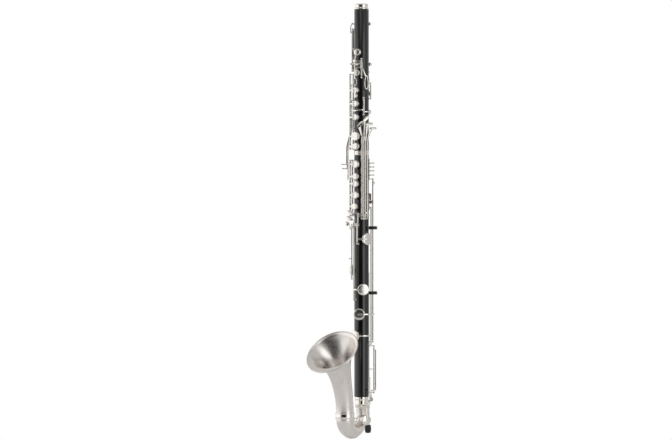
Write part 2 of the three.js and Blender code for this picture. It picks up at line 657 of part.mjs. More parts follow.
// The sliver key lies between the second and third left-hand plates.
{
  const line = LINE.sliver;
  const blade = leaf(at(-8, 27.6, -278), outward(-8), outward(82), 10, 2.6, 2);
  const run = (angle, r, z) => at(angle, r, z);
  addKey('sliver_key', line, [
    tube(line, -284.5, -248.5),
    arm(line, -276, run(22, 28.4, -277), 3, 2, outward(35)),
    bar(run(24, 28.4, -277), run(-2, 27.6, -278), 3, 2, outward(11)),
    blade,
    arm(line, -281, run(76, 26.5, -281), 3, 2.2, outward(62)),
    bar(run(74, 26.6, -281), run(97, 26.2, -281), 3, 2.2, outward(86)),
    cup({ ...CUPS.sliver, top: 26.8 }),
  ]);
}

// Side keys: long levers down the player's right, to touches beside the lower stack.
const SIDE = [
  { cup: CUPS.side1, low: -232.5, high: -199.5, angle: -66, bottom: -418, touch: 12 },
  { cup: CUPS.side2, low: -272.5, high: -239.5, angle: -74, bottom: -429, touch: 12 },
  { cup: CUPS.side3, low: -312.5, high: -279.5, angle: -82, bottom: -449, touch: 0 },
];
SIDE.forEach(({ cup: pad, low, high, angle, bottom, touch }, i) => {
  const line = LINE.side;
  const [near, far] = [28.5, 39.2];
  const face = outward(angle);
  const start = pad.z + 6;
  const solids = [
    tube(line, low, high),
    cup({ ...pad, top: 27 }),
    arm(line, pad.z, at(pad.angle, 26, pad.z).addScaledVector(outward(-45), 3), 4, 2.4, outward(-118)),
    hoop(near - 1.1, near + 1.1, -97, angle + 1, start - 2, start + 2),
    bar(at(-98, 25.6, start), at(-98, near + 0.8, start), 4, 4, UP),
    bar(at(angle, near, start + 2), at(angle, near, -326), 2.6, 2.2, face),
    bar(at(angle, near, -325), at(angle, far, -372), 2.6, 3.2, face),
    bar(at(angle, far, -370), at(angle, far + 0.3, bottom), 2.6, 3.2, face),
  ];
  if (touch) {
    solids.push(bar(at(angle, far - 0.6, bottom + 1), at(angle, far + touch + 2, bottom + 1), 4.2, 2.4, UP));
  } else {
    solids.push(leaf(at(angle, far + 0.5, bottom), face, UP, 9, 2.6, 2.4));
  }
  addKey(`side_key_${i + 1}`, line, solids);
});

// The keywork for the little fingers is laid out square to a direction 35 degrees round from
// the front: `across` to the left of it, `out` away from the bore.
const TURN = 35;
const facing = (across, out, z) =>
  outward(TURN + 90).multiplyScalar(across).addScaledVector(outward(TURN), out).setZ(z);

// Left-hand little finger: four touches in a fan, on four long parallel tubes.
const FAN = [
  { centre: [-3.6, 31, -314.4], along: [0.66, 0, 0.7], half: [10.6, 5.2], lift: [-0.15, 1, 0.2], flare: 10 },
  { centre: [11.4, 31.6, -299.4], along: [0.72, -0.2, 0.69], half: [11.4, 4.3], lift: [0.3, 1, 0.3], flare: 5 },
  { centre: [19.2, 24.6, -313], along: [1, -0.4, 0.12], half: [11, 4.6], lift: [0.35, 1, 0.6], flare: 6.5 },
  { centre: [29.6, 16.5, -323.4], along: [1, -0.25, 0.1], half: [10, 4.2], lift: [0.25, 0.8, 1], flare: 5 },
];
const FOOT = [
  { z: -546, goal: 17, r: 29.6 },
  { z: -551.5, goal: 24, r: 30.6 },
  { z: -543, goal: 66, r: 30 },
  { z: -550, goal: 84, r: 27 },
];
FAN.forEach(({ centre, along, half, lift, flare }, i) => {
  const line = PINKY_ROWS[i];
  const [middle, wayAlong, normal] = [facing(...centre), facing(...along), facing(...lift)];
  const top = -353.5;
  const end = middle.clone().addScaledVector(wayAlong, -0.35 * half[0]);
  const elbow = at(line.angle, 30.5, -343);
  const { z, goal, r } = FOOT[i];
  const out = outward(line.angle);
  addKey(`lh_pinky_key_${i + 1}`, line, [
    tube(line, -553.5, top),
    bar(at(line.angle, 26.3, -358), elbow, 3.2, 2.4, out),
    bar(elbow, end, 3.6, 2.2, out, flare),
    leaf(middle, normal, squareTo(wayAlong, normal), half[0], half[1], 2.2),
    bar(at(line.angle, 26.4, z), at(line.angle, r, z), 3.4, 3.4, UP),
    bar(at(line.angle, r - 0.4, z), at(goal, r - 0.4, z), 3.4, 2.2, out),
  ]);
});

// Right-hand little finger, with the low cups that these keys move.
{
  const { lowF, lowE, lowEFlat } = CUPS;
  const touch = (across, out, z, a, b, tilt) => leaf(
    facing(across, out, z), facing(-0.5, 1, 0.25),
    squareTo(facing(1, 0.5, tilt), facing(-0.5, 1, 0.25)), a, b, 2.4,
  );
  addKey('rh_pinky_key_1', pinkyHigh, [
    tube(pinkyHigh, -619.5, -577.5),
    touch(-28.5, 25.5, -543, 10.5, 4.7, -0.45),
    bar(facing(-21, 29, -543.5), facing(-8.5, 32.5, -543.5), 3.4, 2.4, outward(9)),
    bar(facing(-9.5, 32, -542), facing(-10.8, 30.5, -581), 4, 2.4, outward(9)),
    bar(at(9, 28.4, -580), at(9, 32, -580), 4, 3, UP),
    cup(lowF),
    arm(pinkyHigh, -611, at(24, 28.2, -611), 4.4, 2.6, outward(18)),
    bar(at(22, 28.3, -611), at(70, 30.4, -611).addScaledVector(outward(-20), 9), 4.4, 2.6, outward(45)),
    bar(at(70, 29.6, -611).addScaledVector(outward(-20), 13), at(70, 29.6, -611), 4.4, 2, outward(70)),
  ]);
  addKey('rh_pinky_key_2', pinkyMid, [
    tube(pinkyMid, -764.5, -577.5),
    touch(-31.2, 24, -557.5, 9.5, 4.7, -0.4),
    bar(facing(-24, 27, -560), at(-14, 31, -583), 3.2, 2.4, outward(-14)),
    bar(at(-14, 28.4, -582), at(-14, 32, -582), 4, 3, UP),
    cup(lowEFlat),
    arm(pinkyMid, -742, at(9, 29.8, -742), 4.4, 2.6, outward(0)),
    bar(at(6, 29.7, -742), at(45, 29.6, -742).addScaledVector(outward(-45), 11), 4.4, 2.6, outward(20)),
  ]);
  addKey('rh_pinky_key_3', pinkyLow, [
    tube(pinkyLow, -710.5, -577.5),
    touch(-37.5, 19, -571, 6, 5.4, 0),
    bar(facing(-33, 20.8, -573), at(-38, 31, -585), 3.2, 2.4, outward(-38)),
    bar(at(-38, 28.4, -584), at(-38, 32, -584), 4, 3, UP),
    cup(lowE),
    arm(pinkyLow, -692, at(-80, 27.6, -692).addScaledVector(outward(10), 11), 4.4, 2.6, outward(-50)),
    bar(at(-38.5, 28, -662), at(-44, 33.5, -662), 3, 2.4, UP),
  ]);
}

// ---------- right thumb ----------
{
  const low = CUPS.lowD;
  const high = thumbLine;
  const reach = (z, from, to, lift = 26.6) => hoop(lift, lift + 2.4, from, to, z - 2, z + 2);
  addKey('thumb_key_1', high, [
    tube(high, -874.5, -458.5),
    bar(at(125, 31.2, -806), at(125, 33.6, -806), 4, 4, UP),
    reach(-806, 20, 128, 31.4),
    bar(at(20, 32.6, -806), at(20, 28, -806), 4, 4, UP),
    cup(low),
    bar(at(125, 31.2, -465), at(125, 36.5, -465), 3, 2.4, UP),
    leaf(at(150, 33.5, -465), outward(150), UP, 8, 4.6, 2.2),
    hoop(32, 34.4, 122, 152, -467, -463),
  ]);
  const inner = thumbInner;
  const cs = CUPS.lowCSharp;
  addKey('thumb_key_2', inner, [
    tube(inner, -880.5, -533.5),
    bar(at(110, 24.5, -862), at(104, 24, -862), 4, 4, UP),
    hoop(22.2, 24.6, 20, 106, -864, -860),
    hoop(24.2, 26.6, 12, 22, -864, -860),
    bar(at(-12, 25.6, -862).addScaledVector(outward(78), 10), at(18, 25.6, -862), 4, 2.4, outward(5)),
    cup(cs),
    bar(at(110, 27.6, -560), at(118, 32, -560), 3, 2.4, UP),
  ]);
  const upper = LINE.thumbHigh;
  const pegs = (zs) => zs.flatMap((z) => [
    bar(at(162, 26.7, z), at(160, 29.4, z), 3.4, 3, UP),
    hoop(28.2, 30.4, 163, 128, z - 1.4, z + 1.4),
    rod(at(129, 27.6, z), at(129, 33.4, z), 2.2, 8),
  ]);
  addKey('thumb_key_3', upper, [tube(upper, -429, -407.5), ...pegs([-413.5, -423.5])]);
  addKey('thumb_key_4', upper, [tube(upper, -451.5, -429.5), ...pegs([-433.5, -444.5])]);
}

// ---------- low C ----------
{
  const line = LINE.lowRod;
  const from = outward(line.angle);
  addKey('low_c_rod', line, [
    tube(line, -945.5, -892.5),
    bar(at(125, 34.2, -900), at(125, 37.2, -900), 5, 3, UP),
    bar(at(125, 36.4, -898), at(125, 36.4, -1006), 3, 2, from),
    bar(at(125, 36.6, -1003), at(125, 33.9, -1003), 4, 3, UP),
    tube(line, -1006.5, -952.5),
    hoop(33.6, 35.8, 78, 128, -1005, -1001),
    bar(at(80, 34.8, -1003), at(80, 34.8, -1020), 3.4, 2.2, outward(80)),
  ]);
}
{
  const { angle, z, r, seat, top } = LOW_C_CUP;
  const pad = turned([
    [0, seat + GAP], [r - 1.2, seat + GAP], [r, seat + 3], [r, top - 1.4], [r - 1.5, top],
    [0, top],
  ], at(angle, 0, z), outward(angle), 14);
  const side = outward(angle + 90);
  const hub = [lowCHinge(-5), lowCHinge(5)];
  const lever = join([
    pad,
    sleeve(...hub, 2.3, SLEEVE_BORE),
    bar(at(angle, 27, -1047.6), at(angle, 27.6, -1070), 5, 2.4, outward(angle)),
    bar(at(angle, 27.4, -1044.2), at(angle + 8, 30.8, -1028), 4, 2.4, outward(angle)),
  ]);
  const clear = rod(lowCHinge(-9), lowCHinge(9), SLEEVE_BORE - 0.03, SIDES.sleeve);
  add('low_c_key', lever.subtract(clear), 'silver', at(LOW_C.angle, LOW_C.r, LOW_C.z), 0, side);
}

// ---------- left thumb ----------
{
  const line = LINE.thumbPlate;
  const pad = CUPS.thumb;
  const goal = at(pad.angle, 25.4, pad.z).addScaledVector(outward(pad.angle - 90), pad.r - 1);
  addKey('thumb_plate', line, [
    tube(line, -242.5, -209.5), cup(pad), arm(line, pad.z, goal, 5, 2.2, outward(150)),
  ], 3, pad);
}

export default clarinet;
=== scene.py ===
"""The looks of the bass clarinet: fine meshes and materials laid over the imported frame.

Lengths are millimetres in the frame's own axes until a piece is made. +Z runs up the bore,
-Y is the front and +X the player's left. A place round the bore is an angle from the front
towards the left, a radius and a height.
"""
import json
import math

import bmesh
import bpy
from mathutils import Matrix, Vector


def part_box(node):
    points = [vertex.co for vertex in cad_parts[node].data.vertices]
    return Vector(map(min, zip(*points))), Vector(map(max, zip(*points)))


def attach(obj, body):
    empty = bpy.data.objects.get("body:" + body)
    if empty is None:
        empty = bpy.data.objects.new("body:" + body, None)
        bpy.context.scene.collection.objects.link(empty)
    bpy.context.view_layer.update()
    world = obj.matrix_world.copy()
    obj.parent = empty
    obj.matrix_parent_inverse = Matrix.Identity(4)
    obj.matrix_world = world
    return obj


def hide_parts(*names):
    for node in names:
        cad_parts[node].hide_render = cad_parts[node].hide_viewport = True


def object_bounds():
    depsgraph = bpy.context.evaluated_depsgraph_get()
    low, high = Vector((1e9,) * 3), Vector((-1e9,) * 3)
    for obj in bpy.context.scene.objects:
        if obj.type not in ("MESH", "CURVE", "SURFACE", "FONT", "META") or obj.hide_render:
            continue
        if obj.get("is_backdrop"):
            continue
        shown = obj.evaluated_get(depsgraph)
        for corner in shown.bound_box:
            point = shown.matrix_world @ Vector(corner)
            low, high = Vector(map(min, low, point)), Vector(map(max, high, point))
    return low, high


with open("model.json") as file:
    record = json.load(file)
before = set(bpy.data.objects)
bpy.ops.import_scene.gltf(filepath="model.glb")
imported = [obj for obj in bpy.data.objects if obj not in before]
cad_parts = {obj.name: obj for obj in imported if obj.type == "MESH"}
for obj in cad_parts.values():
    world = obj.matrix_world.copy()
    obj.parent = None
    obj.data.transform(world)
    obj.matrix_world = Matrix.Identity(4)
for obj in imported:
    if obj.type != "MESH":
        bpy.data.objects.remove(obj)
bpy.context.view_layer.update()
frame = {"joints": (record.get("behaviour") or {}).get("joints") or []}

MM = 0.001
UP = Vector((0, 0, 1))
BACK = Vector((0, 1, 0))
LEFT = Vector((1, 0, 0))
JOINTS = {joint["child"]: joint for joint in frame["joints"]}


# ---------- places ----------
def at(angle, radius, z=0.0):
    turn = math.radians(angle)
    return Vector((radius * math.sin(turn), -radius * math.cos(turn), z))


def outward(angle):
    return at(angle, 1)


def upright(angle, *stops):
    """A line at one angle, through (radius, height) stops."""
    return [at(angle, radius, z) for radius, z in stops]


def square_to(wish, axis):
    return (wish - axis * wish.dot(axis)).normalized()


def low(node):
    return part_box(node)[0] / MM


def high(node):
    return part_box(node)[1] / MM


def hinge(body):
    """A point of the body's hinge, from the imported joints."""
    return Vector(JOINTS[body]["pos_m"]) / MM


def on_line(body, z):
    place = hinge(body)
    return Vector((place.x, place.y, z))


def line_angle(body):
    place = hinge(body)
    return math.degrees(math.atan2(place.x, -place.y))


def line_radius(body):
    return hinge(body).xy.length


BODY_R = 19.0  # the wood's outside
BORE_R = 11.8
CHIMNEY_TOP = 21.2
PAD_SEAT = 21.5
CUP_TOP = 29.4
TUBE_R = 2.0
ROD_R = 1.0


# ---------- shapes ----------
def circle(sides, shift=0.0):
    """The cosine and sine of evenly spaced turns."""
    turns = [2 * math.pi * (k + shift) / sides for k in range(sides)]
    return [(math.cos(t), math.sin(t)) for t in turns]


class Shape:
    """Points and faces of one piece."""

    def __init__(self):
        self.points = []
        self.faces = []

    def loft(self, rings, closed=False):
        """Joins rings of the same length. An open row of rings gets a cap at each end."""
        size, first, count = len(rings[0]), len(self.points), len(rings)
        self.points += [p for ring in rings for p in ring]
        for i in range(count if closed else count - 1):
            a, b = first + i * size, first + ((i + 1) % count) * size
            for k in range(size):
                n = (k + 1) % size
                self.faces.append((a + k, a + n, b + n, b + k))
        if not closed:
            self.faces.append(tuple(range(first + size - 1, first - 1, -1)))
            self.faces.append(tuple(range(first + (count - 1) * size, first + count * size)))
        return self

    def turned(self, profile, origin, axis, sides=40, closed=False):
        """A body of revolution: [radius, height] along the axis from the origin."""
        z = axis.normalized()
        x = square_to(LEFT if abs(z.x) < 0.9 else UP, z)
        y = z.cross(x)
        spokes = [x * cos + y * sin for cos, sin in circle(sides)]
        return self.loft([[origin + z * h + s * r for s in spokes] for r, h in profile], closed)

    def stud(self, profile, angle, z, sides=40, closed=False):
        """A body of revolution that points straight out from the bore."""
        return self.turned(profile, Vector((0, 0, z)), outward(angle), sides, closed)

    def rod(self, a, b, radius=ROD_R):
        length, edge = (b - a).length, 0.2
        profile = [(radius - edge, 0), (radius, edge), (radius, length - edge), (radius - edge, length)]
        return self.turned(profile, a, b - a, 20)

    def tube(self, a, b, outer=TUBE_R, inner=ROD_R + 0.2):
        length, edge = (b - a).length, 0.25
        wall = [(inner, 0), (outer - edge, 0), (outer, edge), (outer, length - edge),
                (outer - edge, length), (inner, length)]
        return self.turned(wall, a, b - a, 24, closed=True)

    def bar(self, line, width, thick, face=None, end=1.0, closed=False, power=4.0, sides=16):
        """A bar with round edges along a line. Its wide side looks along `face`, or away from
        the bore; `end` is its width at the far end as a share of `width`."""
        rings, last = [], len(line) - 1
        flat = [(superpower(cos, power), superpower(sin, power)) for cos, sin in circle(sides, 0.5)]
        for i, p in enumerate(line):
            before = line[i - 1] if closed or i else line[0]
            after = line[(i + 1) % len(line)] if closed or i < last else line[last]
            way = (after - before).normalized()
            out = square_to(face or Vector((p.x, p.y, 0)), way)
            side = way.cross(out)
            share = 1 + (end - 1) * i / last
            section = [side * (width / 2 * share * u) + out * (thick / 2 * v) for u, v in flat]
            if not closed and i == 0:
                rings.append([p - way * thick * 0.2 + s * 0.7 for s in section])
            rings.append([p + s for s in section])
            if not closed and i == last:
                rings.append([p + way * thick * 0.2 + s * 0.7 for s in section])
        return self.loft(rings, closed)

    def leaf(self, centre, normal, along, length, width, thick, hole=0.0, taper=0.0, crown=0.5):
        """An oval touch with half sizes `length` and `width`; `hole` is the width of the ring
        that is left where it is open in the middle, and `crown` its rise towards the middle."""
        z = normal.normalized()
        x = square_to(along, z)
        y = z.cross(x)

        def outline(inset, height):
            a, b = length - inset, width - inset
            return [centre + x * (a * cos) + y * (b * sin * (1 + taper * cos)) + z * height
                    for cos, sin in circle(44)]

        if hole:
            return self.bar(outline(hole / 2, 0), hole, thick, z, closed=True, power=2.6)
        half, small = thick / 2, min(length, width)
        steps = [(0.92, -half), (0.3, -half), (0, -0.5 * half), (0, 0.4 * half), (0.35, half),
                 (0.25 * small, half + 0.5 * crown), (0.55 * small, half + 0.85 * crown),
                 (0.85 * small, half + crown)]
        return self.loft([outline(inset, h) for inset, h in steps])


def superpower(value, power):
    return math.copysign(abs(value) ** (2 / power), value)


def spline(stops, steps=6):
    """A smooth line through the stops."""
    ends = [2 * stops[0] - stops[1], *stops, 2 * stops[-1] - stops[-2]]
    line = []
    for i in range(1, len(ends) - 2):
        a, b, c, d = ends[i - 1:i + 3]
        for k in range(steps):
            t = k / steps
            bend = (2 * a - 5 * b + 4 * c - d) * t * t + (3 * b - a - 3 * c + d) * t ** 3
            line.append(0.5 * (2 * b + (c - a) * t + bend))
    return [*line, stops[-1].copy()]


def around(*stops, steps=8):
    """A line round the body through (angle, radius, z) stops."""
    return [at(*p) for p in spline([Vector(s) for s in stops], steps)]


# ---------- materials ----------
def add_node(tree, kind, links=None, **values):
    """Adds a shader node, links the sockets in `links` to it and sets the other values."""
    node = tree.nodes.new("ShaderNode" + kind)
    for name, value in values.items():
        node.inputs[name.replace("_", " ")].default_value = value
    for name, socket in (links or {}).items():
        tree.links.new(socket, node.inputs[name])
    return node


def add_ramp(tree, value, stops):
    """Colours or greys by value: (position, colour or number) stops."""
    ramp = add_node(tree, "ValToRGB", {"Fac": value})
    elements = ramp.color_ramp.elements
    while len(elements) < len(stops):
        elements.new(0.5)
    for element, (position, colour) in zip(elements, stops):
        rgb = colour if isinstance(colour, tuple) else (colour,) * 3
        element.position, element.color = position, (*rgb, 1.0)
    return ramp.outputs["Color"]


class Paint:
    """A material whose colour, roughness and bump come from procedural nodes."""

    def __init__(self, name, metallic=0.0, **sockets):
        self.material = bpy.data.materials.new(name)
        self.material.use_nodes = True
        self.tree = self.material.node_tree
        self.shader = self.tree.nodes["Principled BSDF"]
        self.shader.inputs["Metallic"].default_value = metallic
        for socket, value in sockets.items():
            self.shader.inputs[socket.replace("_", " ")].default_value = value
        self.where = add_node(self.tree, "TexCoord").outputs["Object"]

    def noise(self, scale, detail=4.0, roughness=0.55, stretch=(1, 1, 1)):
        place = add_node(self.tree, "Mapping", {"Vector": self.where},
                         Scale=[scale * s for s in stretch])
        return add_node(self.tree, "TexNoise", {"Vector": place.outputs["Vector"]}, Scale=1.0,
                        Detail=detail, Roughness=roughness).outputs["Fac"]

    def drive(self, socket, output):
        self.tree.links.new(output, self.shader.inputs[socket])
        return self

    def colour(self, value, *stops):
        return self.drive("Base Color", add_ramp(self.tree, value, stops))

    def rough(self, value, *stops):
        return self.drive("Roughness", add_ramp(self.tree, value, stops))

    def bump(self, value, strength, depth):
        bump = add_node(self.tree, "Bump", {"Height": value}, Strength=strength, Distance=depth)
        return self.drive("Normal", bump.outputs["Normal"])


def grenadilla():
    paint = Paint("grenadilla", Coat_Weight=0.25, Coat_Roughness=0.16, Specular_IOR_Level=0.6)
    grain = paint.noise(520, 7, 0.65, (1, 1, 0.03))
    paint.colour(grain, (0.3, (0.0015, 0.0015, 0.0018)), (0.62, (0.004, 0.0034, 0.0032)),
                 (0.85, (0.014, 0.010, 0.008)))
    paint.rough(paint.noise(90, 5, 0.6, (1, 1, 0.15)), (0.3, 0.17), (0.75, 0.27))
    return paint.bump(grain, 0.08, 0.0002)


def plated(name, clean, worn, shine, dull):
    paint = Paint(name, metallic=1.0)
    paint.colour(paint.noise(55, 5, 0.6), (0.4, clean), (0.66, clean), (0.9, worn))
    paint.rough(paint.noise(230, 6, 0.7), (0.3, shine), (0.8, dull))
    return paint.bump(paint.noise(700, 3), 0.06, 0.00004)


def bell_satin():
    paint = Paint("bell_metal", metallic=1.0)
    paint.colour(paint.noise(28, 6, 0.62), (0.3, (0.86, 0.82, 0.78)), (0.6, (0.82, 0.775, 0.735)),
                 (0.85, (0.70, 0.64, 0.585)))
    paint.rough(paint.noise(140, 6, 0.7), (0.25, 0.24), (0.8, 0.37))
    return paint.bump(paint.noise(2600, 4, 0.7, (1, 1, 0.25)), 0.16, 0.00003)


def ground_steel():
    paint = Paint("steel", metallic=1.0)
    paint.colour(paint.noise(70, 4), (0.35, (0.62, 0.62, 0.62)), (0.8, (0.44, 0.43, 0.42)))
    paint.rough(paint.noise(700, 4, 0.6, (1, 1, 0.04)), (0.3, 0.2), (0.75, 0.4))
    return paint.bump(paint.noise(1500, 3, 0.5, (1, 1, 0.05)), 0.15, 0.00003)


def soft(name, dark, light, rough, grain, depth, **sockets):
    paint = Paint(name, **sockets)
    fine = paint.noise(grain, 5, 0.65)
    paint.colour(paint.noise(grain * 0.2, 4), (0.3, dark), (0.75, light))
    paint.rough(fine, (0.3, rough - 0.1), (0.75, rough + 0.08))
    return paint.bump(fine, 0.35, depth)


LOOKS = {
    "grenadilla": grenadilla(),
    "keywork": plated("keywork", (0.86, 0.83, 0.775), (0.72, 0.66, 0.58), 0.17, 0.23),
    "ring_metal": plated("ring_metal", (0.88, 0.84, 0.78), (0.70, 0.63, 0.55), 0.08, 0.18),
    "bell_metal": bell_satin(),
    "steel": ground_steel(),
    "blued": plated("blued", (0.10, 0.13, 0.24), (0.22, 0.16, 0.12), 0.22, 0.4),
    "black_guide": soft("black_guide", (0.010, 0.013, 0.013), (0.020, 0.024, 0.024), 0.34, 900,
                        0.00004, Coat_Weight=0.2),
    "rubber": soft("rubber", (0.010, 0.012, 0.011), (0.030, 0.033, 0.031), 0.74, 1400, 0.00012),
    "pad": soft("pad", (0.62, 0.52, 0.38), (0.78, 0.69, 0.55), 0.62, 1100, 0.0001,
                Sheen_Weight=0.2),
    "cork": soft("cork", (0.045, 0.030, 0.022), (0.21, 0.15, 0.105), 0.8, 1100, 0.0003),
    "shadow": soft("shadow", (0.004, 0.004, 0.004), (0.010, 0.009, 0.009), 0.85, 600, 0.00005),
}


# ---------- pieces ----------
def piece(name, shape, look, body="instrument", node=None, turn=None, sharp=38):
    """Makes a mesh from the shape and lets it ride on its body."""
    points = shape.points
    if turn:
        pivot, matrix = turn
        points = [pivot + matrix @ (p - pivot) for p in points]
    mesh = bpy.data.meshes.new(name)
    mesh.from_pydata([p * MM for p in points], [], shape.faces)
    work = bmesh.new()
    work.from_mesh(mesh)
    bmesh.ops.recalc_face_normals(work, faces=work.faces)
    work.to_mesh(mesh)
    work.free()
    mesh.polygons.foreach_set("use_smooth", [True] * len(mesh.polygons))
    mesh.set_sharp_from_angle(angle=math.radians(sharp))
    made = bpy.data.objects.new(name, mesh)
    bpy.context.scene.collection.objects.link(made)
    mesh.materials.append(LOOKS[look].material)
    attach(made, body)
    if node:
        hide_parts(node)
    return made


# ---------- tone holes ----------
# Every padded hole: angle, height, cup radius, and the top of a cup that is not the usual one.
CUPS = {
    "throat_a_key": (10, -126.6, 8.8, 32.2), "throat_g_sharp_key": (3, -180, 8.5, 28.2),
    "lh1_plate": (0, -225, 8.3), "lh2_plate": (0, -260, 8.7), "lh3_plate": (0, -295, 8.8),
    "upper_vent_large": (0, -344.5, 12), "upper_vent_small": (2, -370.2, 9.2),
    "rh1_plate": (0, -417, 10.4), "rh_vent_high": (0, -448.5, 9), "rh2_plate": (-1, -467.6, 9),
    "rh3_plate": (-1, -497, 10), "rh_vent_low": (-6, -526.5, 9.2),
    "sliver_key": (97, -281, 6, 26.8), "side_key_1": (-135, -216, 6.5, 27),
    "side_key_2": (-135, -256, 6.5, 27), "side_key_3": (-135, -296, 6.5, 27),
    "thumb_plate": (172, -232, 7.5, 27.5), "upper_register_key": (150, -51, 4.6, 26.5),
    "lower_register_key": (150, -156, 4.6, 28.6), "rh_pinky_key_1": (70, -611, 15.5),
    "rh_pinky_key_3": (-80, -692, 14), "rh_pinky_key_2": (45, -742, 15),
    "thumb_key_1": (20, -806, 15), "thumb_key_2": (-12, -862, 15),
}


def hole_radius(r):
    return min(r * 0.56 + 0.4, 8.6)


def wooden_joint(node):
    bottom, top = low(node).z, high(node).z
    wall = [(BORE_R, bottom), (BODY_R - 0.4, bottom), (BODY_R, bottom + 0.4),
            (BODY_R, top - 0.9), (BODY_R - 0.3, top - 0.3), (BODY_R - 0.8, top), (BORE_R, top)]
    shape = Shape().turned(wall, Vector(), UP, 96, closed=True)
    dark = Shape()
    for angle, z, r, *_ in CUPS.values():
        if bottom < z < top:
            hole = hole_radius(r)
            shape.stud([(hole, 15), (hole + 1.9, 15), (hole + 1.9, 19.6), (hole + 1.4, 20.1),
                        (hole + 1.1, CHIMNEY_TOP - 0.2), (hole + 0.9, CHIMNEY_TOP),
                        (hole + 0.2, CHIMNEY_TOP), (hole, CHIMNEY_TOP - 0.3)], angle, z, closed=True)
            dark.stud([(hole - 0.1, 18.6), (hole - 0.1, 19.3)], angle, z, 32)
    piece(node + "_wood", shape, "grenadilla", node=node)
    piece(node + "_tone_holes", dark, "shadow")


wooden_joint("upper_joint")
wooden_joint("lower_joint")


# ---------- rings, bow and bell ----------
def levels(node):
    return low(node).z, high(node).z


def collar(name, node, profile, centre=Vector()):
    piece(name, Shape().turned(profile, centre, UP, 96, closed=True), "ring_metal", node=node)


def beads(bottom, top, radius, bead, count):
    """A ring's outside, from its foot to its top, with round beads along it."""
    profile, pitch = [], (top - bottom) / count
    for i in range(count):
        middle = bottom + (i + 0.5) * pitch
        for k in range(9):
            turn = math.pi * (k / 8 - 0.5)
            profile.append((radius + bead * math.cos(turn), middle + 0.46 * pitch * math.sin(turn)))
    return profile


foot, _ = levels("neck_receiver")
collar("receiver_ring", "neck_receiver", [
    (BORE_R, foot), (17.9, foot), *beads(foot + 0.2, foot + 3.6, 17.6, 0.65, 1), (17.1, foot + 4.4),
    (17, foot + 5.2), (17.1, foot + 10.4), *beads(foot + 10.6, foot + 12.6, 16.5, 0.7, 1),
    (16.2, foot + 13.2), (15.6, -0.2), (15.2, 0), (12.6, 0), (BORE_R + 0.1, -0.8),
])

foot, top = levels("middle_ring")
collar("middle_ring_beads", "middle_ring", [
    (BORE_R, foot), (19.4, foot), *beads(foot + 0.2, top - 0.2, 19.2, 0.95, 2), (19.4, top),
    (BORE_R, top),
])

LOW_C_ANGLE = line_angle("low_c_key")


def low_c_axis(offset, radius=None):
    place = hinge("low_c_key")
    radius = radius or math.hypot(place.x, place.y)
    return at(LOW_C_ANGLE, radius, place.z) + outward(LOW_C_ANGLE + 90) * offset


def post(shape, foot_point, head, ball=2.4, stem=1.3, flange=2.6):
    """A turned post: a flanged foot, a waisted stem and a ball through which the rod runs."""
    reach = (head - foot_point).length
    waist = stem * 0.82
    profile = [(flange, -0.3), (flange, 0.35), (flange - 0.5, 0.7), (stem + 0.25, 0.95),
               (waist, reach * 0.45), (waist, reach - ball * 0.95)]
    for k in range(11):
        turn = math.pi * (0.17 + 0.83 * k / 10)
        profile.append((max(ball * math.sin(turn), 0.05), reach - ball * math.cos(turn)))
    return shape.turned(profile, foot_point, head - foot_point, 24)


foot, top = levels("bell_tenon")
BOW_TOP = foot - 0.3
tenon = Shape().turned([
    (BORE_R, foot), (13.9, foot), (14, foot + 2.2), (14.6, foot + 2.8), (16, foot + 4.2),
    (16.4, foot + 5), (16.5, top - 9.5), (16.1, top - 8.6), (16.4, top - 7.8),
    (16.6, top - 0.5), (16.3, top), (BORE_R, top),
], Vector(), UP, 80, closed=True)
for side in (-8, 8):
    post(tenon, low_c_axis(side, 14.6), low_c_axis(side), 2.3, 1.4, 2.2)
tenon.rod(low_c_axis(-8), low_c_axis(8))
piece("tenon_ferrule", tenon, "ring_metal", node="bell_tenon")

BOW = {"bend": -1074, "radius": 37.65, "depth": 33.65, "start": 13, "end": 22.5, "wall": 1.6}
BELL_Y = -2 * BOW["radius"]
BELL = {"foot": -1062, "rim_y": -134, "rim_z": -898, "tilt": 47, "throat": 22.5, "rim": 71,
        "wall": 1.5975}


def even(points, steps):
    """The line through the points again, in equal steps."""
    lengths = [0]
    for a, b in zip(points, points[1:]):
        lengths.append(lengths[-1] + (b - a).length)
    line, i = [], 0
    for k in range(steps + 1):
        goal = lengths[-1] * k / steps
        while i < len(points) - 2 and lengths[i + 1] < goal:
            i += 1
        share = (goal - lengths[i]) / (lengths[i + 1] - lengths[i])
        line.append(points[i].lerp(points[i + 1], share))
    return line


def bow_line(steps):
    bend = []
    for k in range(181):
        turn = math.pi * k / 180
        bend.append(Vector((0, -BOW["radius"] * (1 - math.cos(turn)),
                            BOW["bend"] - BOW["depth"] * math.sin(turn))))
    ends = Vector((0, 0, BOW_TOP)), Vector((0, BELL_Y, BELL["foot"]))
    return even([ends[0], *bend, ends[1]], steps)


def bow_radius(share):
    t = min(max((share - 0.12) * 1.25, 0), 1)
    return BOW["start"] + (BOW["end"] - BOW["start"]) * t * t * (3 - 2 * t)


def bell_line(steps):
    tilt = math.radians(BELL["tilt"])
    away = Vector((0, -math.sin(tilt), math.cos(tilt)))
    rim = Vector((0, BELL["rim_y"], BELL["rim_z"]))
    a, b = Vector((0, BELL_Y, BELL["foot"] + 0.3)), Vector((0, BELL_Y, BELL["foot"] + 65))
    c, d = rim - away * 30, rim
    points = []
    for k in range(161):
        t = k / 160
        u = 1 - t
        points.append(a * u ** 3 + b * 3 * u * u * t + c * 3 * u * t * t + d * t ** 3)
    return even(points, steps)


def bell_radius(share):
    opening = (math.exp(2.5 * share * share) - 1) / (math.exp(2.5) - 1)
    return BELL["throat"] + (BELL["rim"] - BELL["throat"]) * opening


